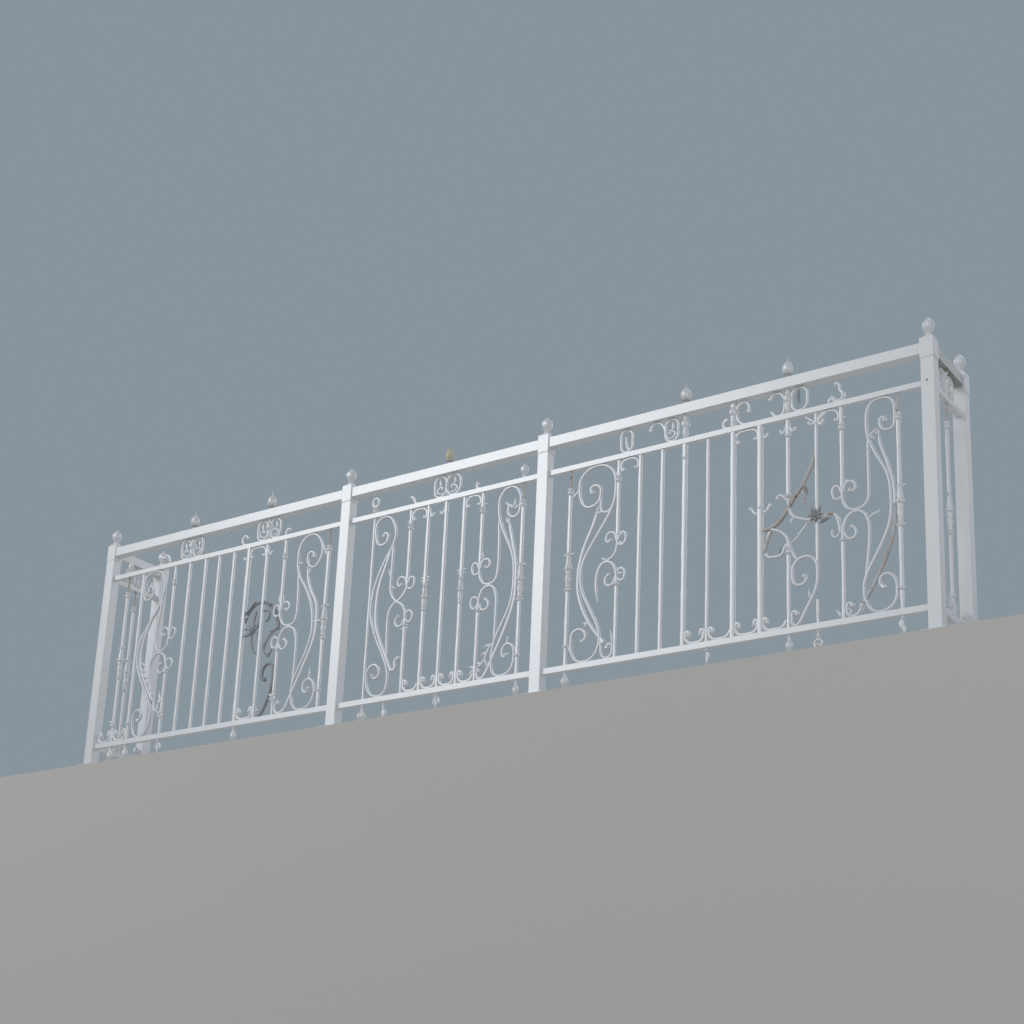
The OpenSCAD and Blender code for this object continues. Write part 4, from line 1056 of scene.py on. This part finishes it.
def make_paints(paint):
    """Every finish, from the colours that a user may change."""
    clean, dull, soil_and_shade, iron = [tuple(c) for c in (paint.enamel, paint.shade, paint.soil_and_shade, paint.iron)]
    spray, rust, taupe = [tuple(c) for c in (paint.spray, paint.rust, paint.taupe)]
    algae, moss = tuple(paint.algae), tuple(paint.moss)
    colours = (clean, dull, soil_and_shade, iron, rust)
    # The amount of dirt also sets how strongly faces that look down darken with painted shade.
    enamel("post_enamel", *colours, soil_and_shade_amount=0.5, chip_level=0.78, gloss=0.32)
    enamel("rail_enamel", *colours, soil_and_shade_amount=0.75, chip_level=0.78, gloss=0.32)
    enamel("bar_enamel", *colours, soil_and_shade_amount=0.65, chip_level=0.74, gloss=0.34)
    enamel("weathered_enamel", *colours, soil_and_shade_amount=0.8, chip_level=0.70, gloss=0.42)
    enamel("worn_enamel", taupe, dull, soil_and_shade, iron, rust, soil_and_shade_amount=0.9, chip_level=0.64, gloss=0.48)
    enamel("stained_enamel", dull, clean, algae, iron, algae, soil_and_shade_amount=1.0, chip_level=0.74, gloss=0.45)
    enamel("mossy_enamel", moss, moss, algae, iron, algae, soil_and_shade_amount=0.4, chip_level=0.76, gloss=0.5)
    dark = enamel("dark_iron", spray, spray, soil_and_shade, iron, iron, soil_and_shade_amount=0.1, chip_level=0.78, gloss=0.7)
    dark.node_tree.nodes["Principled BSDF"].inputs["Specular IOR Level"].default_value = 0.2


def plain(name, colour):
    """Plain matt finish for the stage."""
    material = bpy.data.materials.new(name)
    material.use_nodes = True
    shader = material.node_tree.nodes["Principled BSDF"]
    shader.inputs["Base Color"].default_value = (*colour, 1.0)
    shader.inputs["Roughness"].default_value = 0.9
    return material


# Settings


def colour_setting(name, description, default):
    """Colour that a user may change."""
    return bpy.props.FloatVectorProperty(
        name=name, description=description, default=default, subtype="COLOR", size=3, min=0, max=1)


class RailingPaint(bpy.types.PropertyGroup):
    enamel: colour_setting("Enamel", "Colour of the clean enamel", (0.76, 0.79, 0.82))
    shade: colour_setting("Dull enamel", "Colour of the duller clouds in the enamel", (0.60, 0.64, 0.68))
    # The brown that faces looking down are given: dirt, and painted shade.
    soil_and_shade: colour_setting("Soil", "Colour of the soil under the rails", (0.30, 0.25, 0.20))
    iron: colour_setting("Bare iron", "Colour of weathered bare iron", (0.11, 0.10, 0.10))
    spray: colour_setting("Weathered spray", "Colour of the dark spray and rosette", (0.022, 0.025, 0.018))
    rust: colour_setting("Rust", "Colour of the rusty chips", (0.26, 0.16, 0.10))
    taupe: colour_setting("Worn enamel", "Colour of the worn branches and pins", (0.50, 0.46, 0.42))
    # In the stained enamel this green also goes on faces that look down, where it is painted shade as well as
    # algae.
    algae: colour_setting("Algae", "Colour of the green soil on the right return", (0.22, 0.26, 0.16))
    moss: colour_setting("Moss", "Colour of the greenish bud over the middle bay", (0.68, 0.65, 0.46))


class RailingSizes(bpy.types.PropertyGroup):
    strip_thick: bpy.props.FloatProperty(
        name="Strip thickness", description="Thickness of scroll strip, in millimetres", default=11.2,
        min=5, max=14)
    strip_deep: bpy.props.FloatProperty(
        name="Strip depth", description="Depth of the main scroll strip, in millimetres", default=12.0,
        min=6, max=14)
    bar_width: bpy.props.FloatProperty(
        name="Bar width", description="Width of a plain bar, in millimetres", default=13.0, min=8, max=20)
    pin_width: bpy.props.FloatProperty(
        name="Pin width", description="Width of the pin over a knuckled bar, in millimetres", default=8.5,
        min=5, max=14)


class RailingStage(bpy.types.PropertyGroup):
    floor: colour_setting("Floor", "Colour of the floor", (0.62, 0.61, 0.59))
    backdrop: colour_setting("Backdrop", "Colour seen behind the railing", (0.25, 0.30, 0.34))
    lamps: bpy.props.FloatProperty(
        name="Lamps", description="Strength of the lamps, as a share of their full power", default=0.44,
        min=0, max=2, subtype="FACTOR")
    sky: bpy.props.FloatProperty(
        name="Sky", description="Strength of the even light from all sides", default=0.4, min=0, max=2)


# Stage

# Camera fitted to the posts and rails: metres, degrees and pixels of a square image. The centre of
# its lens is on a row under the image's middle, which the shift makes up for.
CAMERA_PLACE = (5.857, -5.119, -1.900)
CAMERA_HEADING = -34.845
CAMERA_PITCH = 16.965
CAMERA_ROLL = 2.488
FOCAL_PX = 1727.6
IMAGE_PX = 1024
CENTRE_ROW_PX = 700
SENSOR_MM = 36.0


def add_camera():
    """Camera from its heading, pitch and roll: the aim, then right and up turned by the roll."""
    heading, pitch, roll = map(math.radians, (CAMERA_HEADING, CAMERA_PITCH, CAMERA_ROLL))
    aim = Vector((math.sin(heading) * math.cos(pitch), math.cos(heading) * math.cos(pitch), math.sin(pitch)))
    flat_right = Vector((math.cos(heading), -math.sin(heading), 0.0))
    flat_up = flat_right.cross(aim)
    right = flat_right * math.cos(roll) + flat_up * math.sin(roll)
    up = flat_up * math.cos(roll) - flat_right * math.sin(roll)
    turn = Matrix((right, up, -aim)).transposed().to_4x4()
    data = bpy.data.cameras.new("camera")
    data.sensor_width = SENSOR_MM
    data.lens = FOCAL_PX / IMAGE_PX * SENSOR_MM
    data.shift_y = (CENTRE_ROW_PX - IMAGE_PX / 2) / IMAGE_PX
    camera = bpy.data.objects.new("camera", data)
    camera.matrix_world = Matrix.Translation(CAMERA_PLACE) @ turn
    bpy.context.scene.collection.objects.link(camera)
    bpy.context.scene.camera = camera


def add_block(name, low, high, material):
    """Plain block of the stage between two corners, in metres."""
    corners = list(itertools.product(*zip(low, high)))
    faces = [(0, 1, 3, 2), (4, 6, 7, 5), (0, 4, 5, 1), (2, 3, 7, 6), (0, 2, 6, 4), (1, 5, 7, 3)]
    mesh = bpy.data.meshes.new(name)
    mesh.from_pydata(corners, [], faces)
    mesh.materials.append(material)
    block = bpy.data.objects.new(name, mesh)
    bpy.context.scene.collection.objects.link(block)


def add_lamp(name, place, target, size, power):
    """Square soft lamp that looks from its place at a target."""
    data = bpy.data.lights.new(name, "AREA")
    data.energy = power
    data.size = size
    lamp = bpy.data.objects.new(name, data)
    lamp.location = place
    lamp.rotation_euler = (Vector(target) - Vector(place)).to_track_quat("-Z", "Y").to_euler()
    bpy.context.scene.collection.objects.link(lamp)


def add_world(backdrop, strength):
    """Even pale light, with the backdrop's own colour where the camera or a reflection sees it."""
    world = bpy.data.worlds.new("backdrop")
    world.use_nodes = True
    bpy.context.scene.world = world
    tree = world.node_tree
    tree.nodes.clear()
    pale = {"Color": (0.93, 0.96, 1.0, 1.0), "Strength": strength}
    light = fed(tree, "ShaderNodeBackground", pale).outputs["Background"]
    plate = {"Color": (*backdrop, 1.0), "Strength": 1.0}
    seen = fed(tree, "ShaderNodeBackground", plate).outputs["Background"]
    path = tree.nodes.new("ShaderNodeLightPath").outputs
    either = worked_out(tree, "MAXIMUM", path["Is Camera Ray"], path["Is Glossy Ray"])
    mix = fed(tree, "ShaderNodeMixShader", {"Fac": either, 1: light, 2: seen})
    fed(tree, "ShaderNodeOutputWorld", {"Surface": mix.outputs["Shader"]})


class RAILING_OT_stage(bpy.types.Operator):
    """Add the camera, the pale terrace, the backdrop and the soft lamps"""

    bl_idname = "railing.stage"
    bl_label = "Stage"

    def execute(self, context):
        stage = context.scene.railing_stage
        add_camera()
        floor = plain("stage_floor", stage.floor)
        ground = -3.0
        front = -0.055
        add_block("terrace", (-30.0, front, ground), (34.0, 40.0, 0.0), floor)
        add_block("lower_floor", (-60.0, -60.0, ground - 0.2), (64.0, front, ground), floor)
        add_world(stage.backdrop, stage.sky)
        middle = (2.0, 0.0, 0.5)
        add_lamp("key_lamp", (-3.0, -7.0, 5.0), middle, 5.0, 520.0 * stage.lamps)
        add_lamp("fill_lamp", (8.0, -4.0, 1.5), middle, 4.0, 120.0 * stage.lamps)
        add_lamp("back_lamp", (3.0, 6.0, 5.0), middle, 5.0, 220.0 * stage.lamps)
        context.scene.view_settings.view_transform = "Standard"
        return {"FINISHED"}


class RAILING_OT_coat(bpy.types.Operator):
    """Paint every frame node that stays in view"""

    bl_idname = "railing.coat"
    bl_label = "Coat of paint"

    def execute(self, context):
        for name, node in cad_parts.items():
            finish = "post_enamel" if name.endswith("_post") else "rail_enamel"
            if name == "right_return_top_rail":
                finish = "stained_enamel"
            for holder in node.material_slots:
                holder.material = bpy.data.materials[finish]
        return {"FINISHED"}


# Bars of each bay, from its left post: those with a knuckle and a pin, and the ones between
# with their width as a share of a plain bar's

PINNED = {"one": [118, 1322], "two": [892], "three": [121, 1443]}
BARS = {
    "one": [(213, 1), (415, 0.9), (507, 1), (603, 1), (685, 1), (774, 1), (863, 1.4), (969, 1), (1074, 0.9)],
    "two": [(146, 0.7), (338, 0.9), (428, 1), (517, 1), (607, 1), (697, 0.9)],
    "three": [(335, 0.9), (429, 1), (524, 1), (618, 1.3), (713, 0.85), (816, 1.4), (924, 1.45), (1032, 0.95),
              (1140, 0.75), (1235, 0.9)],
}
# Heights between which a broken bar is missing. The spray's own bar has collars of its own.
BROKEN = {
    ("one", 415): WAIST, ("one", 1074): WAIST, ("two", 338): WAIST, ("two", 697): WAIST,
    ("three", 335): WAIST, ("three", 1235): WAIST, ("three", 1032): WAIST, ("three", 1140): (190, 322),
}
SPRAY_BAR = ("three", 1032)


class RAILING_OT_scrolls(bpy.types.Operator):
    """Draw the scroll groups beside the posts, with their leaves and the one worn vine"""

    bl_idname = "railing.scrolls"
    bl_label = "Scroll groups"

    def execute(self, context):
        for group, strands in SCROLLS.items():
            bay, side = group.split("_")[1:]
            left, right = bay_span(bay)
            face = front_face(left) if side == "left" else front_face(right, mirrored=True)
            vines = [entry for entry in strands if entry[0] == "vine" and group == "bay_three_right"]
            parts = strands_of(entry for entry in strands if entry not in vines)
            parts += waist_curls(*WAIST_CURLS[group])
            if group == "bay_one_left":
                parts += barbs(FERN, 28, 6)
            parts += leaves_of(LEAVES[group], -2.0, LEAF_FULLNESS)
            make_piece(f"{group}_scrolls_dressed", all_placed(parts, face), "weathered_enamel",
                       f"{group}_scrolls")
            if vines:
                parts = [strand(kind, route, 1.0) for kind, route in vines]
                make_piece(f"{group}_vine", all_placed(parts, face), "worn_enamel")
        return {"FINISHED"}


# Details of the bars, placed by the bars' distances from the bay's left post


def bay_one_details():
    """Feet, heads, leaves and flowers on the first bay's bars."""
    parts = [turned_part(213, LOW_COLLAR, COLLAR)]
    parts += foot_scroll(POST_HALF, 118) + foot_scroll(118, 213) + foot_scroll(863, 969)
    parts += [head_arch(863, 969), head_curl(863, -1), head_curl(969, 1)]
    parts += leaf_pair(863, 846) + leaf_pair(969, 846) + leaf_pair(863, 566, 26, 10)
    parts += leaf_pair(969, 130, 24, 16, 12) + leaf_pair(969, 142, 18, 20, 10)
    return parts + blossom(118, 190, 22) + blossom(415, 196, 26) + blossom(1074, 184, 26)


def bay_two_details():
    """Feet, heads, leaves and small knuckles on the middle bay's bars."""
    parts = foot_scroll(338, 428, "left") + foot_scroll(428, 517) + foot_scroll(517, 607)
    parts += foot_scroll(607, 697, "left")
    parts += [head_arch(338, 428), head_arch(607, 697)]
    parts += [head_curl(428, 1), head_curl(517, -1)]
    for u in (338, 428, 697):
        parts += leaf_pair(u, 838, 24, 6, 9)
    for u in (428, 607):
        parts.append(turned_part(u, 434, SMALL_KNUCKLE, sides=24))
        parts += leaf_pair(u, 572, 26, 14, 10) + leaf_pair(u, 572, 24, -12, 9)
    return parts + leaf_pair(517, 846, 20, 6, 8) + leaf_pair(517, 700, 18, 6, 7)


def bay_three_details():
    """Feet, heads, leaves, collars and whiskers on the right bay's bars."""
    parts = foot_scroll(618, 713) + foot_scroll(713, 816, "left") + foot_scroll(816, 924)
    parts += foot_scroll(924, 1032, "left")
    parts += [head_arch(335, 429), head_arch(816, 924), head_arch(1140, 1235)]
    parts += [head_curl(924, 1), head_curl(1032, -1), head_curl(1032, 1)]
    for side in (-1, 1):
        crossing = [(-44, 888), (-18, 866), (6, 850), (26, 846), (28, 864)]
        route = [(1140 + side * out, w) for out, w in crossing]
        parts.append(strip_part(route, 7, 8, ("blunt", "bud"), side * 2.0))
    parts += leaf_pair(1032, 836, 24, 8, 9) + leaf_pair(618, 846, 18, 6, 8) + leaf_pair(1235, 846, 20, 8, 9)
    parts += [turned_part(1032, 822, COLLAR), turned_part(618, 826, BALL), turned_part(924, 566, COLLAR)]
    parts += [turned_part(1032, 592, COLLAR), turned_part(1032, 374, KNOB)]
    for side in (-1, 1):
        whisker = [(924 + side * out, w) for out, w in [(5, 558), (22, 546), (30, 572), (44, 580)]]
        parts.append(strip_part(whisker, 8, 8, ("blunt", "bud")))
    parts += [leaf_part([(1235, 108), (1218, 122), (1206, 144)], 14), ball_part(1222, 118, 5)]
    curl = [(1243, 112), (1262, 116), (1262, 138), (1248, 138)]
    return parts + [strip_part(curl, 6, 8, ("point", "bud"))]


class RAILING_OT_bars(bpy.types.Operator):
    """Draw the bars of each bay with their knuckles, collars, feet and heads"""

    bl_idname = "railing.bars"
    bl_label = "Bars"

    def execute(self, context):
        sizes = context.scene.railing_sizes
        details = {"one": bay_one_details, "two": bay_two_details, "three": bay_three_details}
        pins = []
        for bay, bars in BARS.items():
            parts = []
            for k, u in enumerate(PINNED[bay]):
                parts += knuckled_bar(u, sizes.bar_width, k)
                pins.append(placed(bar_part(u, PIN_FOOT, SUB_UNDER, sizes.pin_width, k), bay_face(bay)))
            for k, (u, share) in enumerate(bars):
                low, high = BROKEN.get((bay, u), (SUB_UNDER, SUB_UNDER))
                parts.append(bar_part(u, FOOT_TOP, low, sizes.bar_width * share, k))
                if high < SUB_UNDER:
                    parts.append(bar_part(u, high, SUB_UNDER, sizes.bar_width * share, k))
                if (low, high) == WAIST and (bay, u) != SPRAY_BAR:
                    parts += [turned_part(u, PIN_FOOT, KNOB), turned_part(u, WAIST_COLLAR, COLLAR)]
            parts += details[bay]()
            make_piece(f"bay_{bay}_bars_dressed", all_placed(parts, bay_face(bay)), "bar_enamel",
                       f"bay_{bay}_bars")
        make_piece("worn_pins", pins, "worn_enamel")
        return {"FINISHED"}


class RAILING_OT_bands(bpy.types.Operator):
    """Draw the ovals, stubs, buds and free curls between the sub rails and the top rails"""

    bl_idname = "railing.bands"
    bl_label = "Bands"

    def execute(self, context):
        for bay in BAYS:
            parts = all_placed(band_parts(bay), bay_face(bay))
            make_piece(f"bay_{bay}_band_dressed", parts, "bar_enamel", f"bay_{bay}_band")
        return {"FINISHED"}


class RAILING_OT_returns(bpy.types.Operator):
    """Draw the knuckled bar, the feet, the ovals and the leaves of both returns"""

    bl_idname = "railing.returns"
    bl_label = "Returns"

    def execute(self, context):
        sizes = context.scene.railing_sizes
        mid, pins = RETURN_LEN / 2, []
        for side, x in (("left", POST_X[0]), ("right", POST_X[-1])):
            face = side_face(x)
            parts = knuckled_bar(mid, sizes.bar_width, 2)
            parts += foot_scroll(POST_HALF, mid) + foot_scroll(mid, RETURN_LEN - POST_HALF) + oval_pair(mid)
            parts += leaf_pair(mid, SUB_UNDER - 26, 26, 14, 12)
            if side == "right":
                parts.append(leaf_part([(mid - 30, FOOT_TOP), (mid - 46, 142), (mid - 34, 184)], 20))
            pins.append(placed(bar_part(mid, PIN_FOOT, SUB_UNDER, sizes.pin_width, 1), face))
            make_piece(f"{side}_return_panel_dressed", all_placed(parts, face), "bar_enamel",
                       f"{side}_return_panel")
        make_piece("worn_return_pins", pins, "worn_enamel")
        return {"FINISHED"}


class RAILING_OT_sprays(bpy.types.Operator):
    """Grow the dark, the worn and the pale sprays between the bars, round the dark rosette"""

    bl_idname = "railing.sprays"
    bl_label = "Sprays"

    def execute(self, context):
        left = strands_of(LEFT_SPRAY) + leaves_of(LEFT_SPRAY_LEAVES, -3.0)
        left += [strand("branch", LEFT_ARCH, 7.0), rosette_part(923, 497, 17, -4, 5)]
        left += barbs(LEFT_ARCH, 9, 12)
        dark = [rosette_part(1140, 497, 29, -13)] + barbs(SIDE_TWIG, 9, 7)
        dark += leaves_of(RIGHT_DARK_LEAVES, -3.0)
        make_piece("dark_sprays", all_placed(left, bay_face("one")) + all_placed(dark, bay_face("three")),
                   "dark_iron")
        worn = strands_of(RIGHT_BRANCHES) + barbs(LONG_BRANCH, 13, 12)
        make_piece("right_spray_branches", all_placed(worn, bay_face("three")), "worn_enamel")
        pale = strands_of(RIGHT_SPRAY) + leaves_of(RIGHT_SPRAY_LEAVES, -3.0)
        pale += [ball_part(u, w, 6) for u, w in RIGHT_SPRAY_BEADS] + barbs(BEADED_TWIG, 8, 8)
        make_piece("right_spray_dressed", all_placed(pale, bay_face("three")), "weathered_enamel",
                   "rosette_spray")
        return {"FINISHED"}


# Height of a cap's softened edges, and how near to the corners its flat sides have points
CAP_EDGE = 0.6
CAP_NEAR = 0.03
# From a finial's top down to its cap and to the foot of its bud
CAP_BELOW = 84
BUD_BELOW = 66


def square_prism(half_low, half_high, low, high, corner):
    """Upright prism over a square with rounded corners, from one half width to another. Each
    side and each end has a second line of points near its edge, which keeps its middle flat."""
    edge = CAP_EDGE
    heights = np.array([low, low + edge, low + 2 * edge, high - 2 * edge, high - edge, high])
    slope = (half_high - half_low) / (high - low)
    half = half_low + slope * (heights - low) - np.array([edge, 0, 0, 0, 0, edge])
    arcs = round_box(32, corner).reshape(4, 8, 2)
    side = np.roll(arcs, -1, axis=0)[:, 0] - arcs[:, -1]
    edges = [arcs[:, -1:] + side[:, None] * share for share in (CAP_NEAR, 1 - CAP_NEAR)]
    x, y = np.concatenate([arcs, *edges], axis=1).reshape(-1, 2).T
    return skin(grid(half[:, None] * x, heights[:, None], half[:, None] * y))


class RAILING_OT_finials(bpy.types.Operator):
    """Build the cap, shoulder and petalled bud on every post"""

    bl_idname = "railing.finials"
    bl_label = "Finials"

    def execute(self, context):
        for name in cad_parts:
            if not name.endswith("_finial"):
                continue
            low, mid, high = node_low(name), node_middle(name), node_high(name)
            face = front_face(0.0)._replace(origin=np.array([mid[0], mid[1], 0.0]))
            half = (high[0] - low[0]) / 2
            top = high[2]
            cap_top = top - CAP_BELOW
            bud = smooth_outline(FINIAL_BUD, 30)
            parts = [
                square_prism(half - 1.5, half - 1.5, low[2], low[2] + 5, 0.08),
                square_prism(half, half, low[2] + 4, cap_top, 0.08),
                square_prism(half, 14, cap_top, cap_top + 11, 0.2),
                turned_part(0, cap_top + 8, FINIAL_NECK, sides=24),
                turned_part(0, top - BUD_BELOW, bud, sides=48, lobes=6, depth=0.06),
            ]
            make_piece(f"{name}_dressed", all_placed(parts, face), "post_enamel", name)
        return {"FINISHED"}


class RAILING_OT_buds(bpy.types.Operator):
    """Set the buds with their worn cups on the top rails, and the bolt mark on the right post"""

    bl_idname = "railing.buds"
    bl_label = "Buds"

    def execute(self, context):
        buds, mossy, cups = [], [], []
        for bay, u in CREST:
            outline, group = smooth_outline(CREST_BUD, 30), buds
            if bay == "two":
                # The last two points are the spike, which this bud lacks
                outline, group = smooth_outline(CREST_BUD[:-2], 30) * (1.0, SLIMMER), mossy
            bud = turned_part(u, RAIL_TOP, outline, sides=32, lobes=5, depth=0.04)
            group.append(placed(bud, bay_face(bay)))
            cup = turned_part(u, RAIL_TOP, smooth_outline(CREST_CUP, 20), sides=32)
            cups.append(placed(cup, bay_face(bay)))
        make_piece("crest_buds_dressed", buds, "post_enamel", "crest_buds")
        make_piece("mossy_bud", mossy, "mossy_enamel")
        make_piece("crest_cups", cups, "worn_enamel")
        bolt = ball_part(POST_X[-1] - 2, SUB_TOP - 8, 4.0, -POST_HALF)
        make_piece("bolt_mark", [placed(bolt, front_face(0.0))], "worn_enamel")
        return {"FINISHED"}


class RAILING_OT_drops(bpy.types.Operator):
    """Hang the drops under the bottom rails"""

    bl_idname = "railing.drops"
    bl_label = "Drops"

    def execute(self, context):
        parts = []
        for bay, u, kind in DROPS:
            parts += all_placed(drop_parts(kind, u), bay_face(bay))
        make_piece("rail_drops_dressed", parts, "bar_enamel", "rail_drops")
        return {"FINISHED"}


class RAILING_PT_panel(bpy.types.Panel):
    """Sidebar panel that lists the railing's makers"""

    bl_label = "Iron balcony railing"
    bl_idname = "RAILING_PT_panel"
    bl_space_type = "VIEW_3D"
    bl_region_type = "UI"
    bl_category = "Railing"

    def draw(self, context):
        for maker in MAKERS:
            self.layout.operator(maker.bl_idname)


MAKERS = [
    RAILING_OT_stage, RAILING_OT_coat, RAILING_OT_scrolls, RAILING_OT_bars, RAILING_OT_bands,
    RAILING_OT_returns, RAILING_OT_sprays, RAILING_OT_finials, RAILING_OT_buds, RAILING_OT_drops,
]
GROUPS = {"railing_paint": RailingPaint, "railing_sizes": RailingSizes, "railing_stage": RailingStage}


def register():
    for group in GROUPS.values():
        bpy.utils.register_class(group)
    for maker in MAKERS:
        bpy.utils.register_class(maker)
    bpy.utils.register_class(RAILING_PT_panel)
    for name, group in GROUPS.items():
        setattr(bpy.types.Scene, name, bpy.props.PointerProperty(type=group))


def unregister():
    for name in GROUPS:
        delattr(bpy.types.Scene, name)
    bpy.utils.unregister_class(RAILING_PT_panel)
    for maker in reversed(MAKERS):
        bpy.utils.unregister_class(maker)
    for group in reversed(GROUPS.values()):
        bpy.utils.unregister_class(group)


def main():
    register()
    make_paints(bpy.context.scene.railing_paint)
    bpy.ops.railing.stage()
    bpy.ops.railing.coat()
    bpy.ops.railing.scrolls()
    bpy.ops.railing.bars()
    bpy.ops.railing.bands()
    bpy.ops.railing.returns()
    bpy.ops.railing.sprays()
    bpy.ops.railing.finials()
    bpy.ops.railing.buds()
    bpy.ops.railing.drops()


if __name__ == "__main__":
    main()
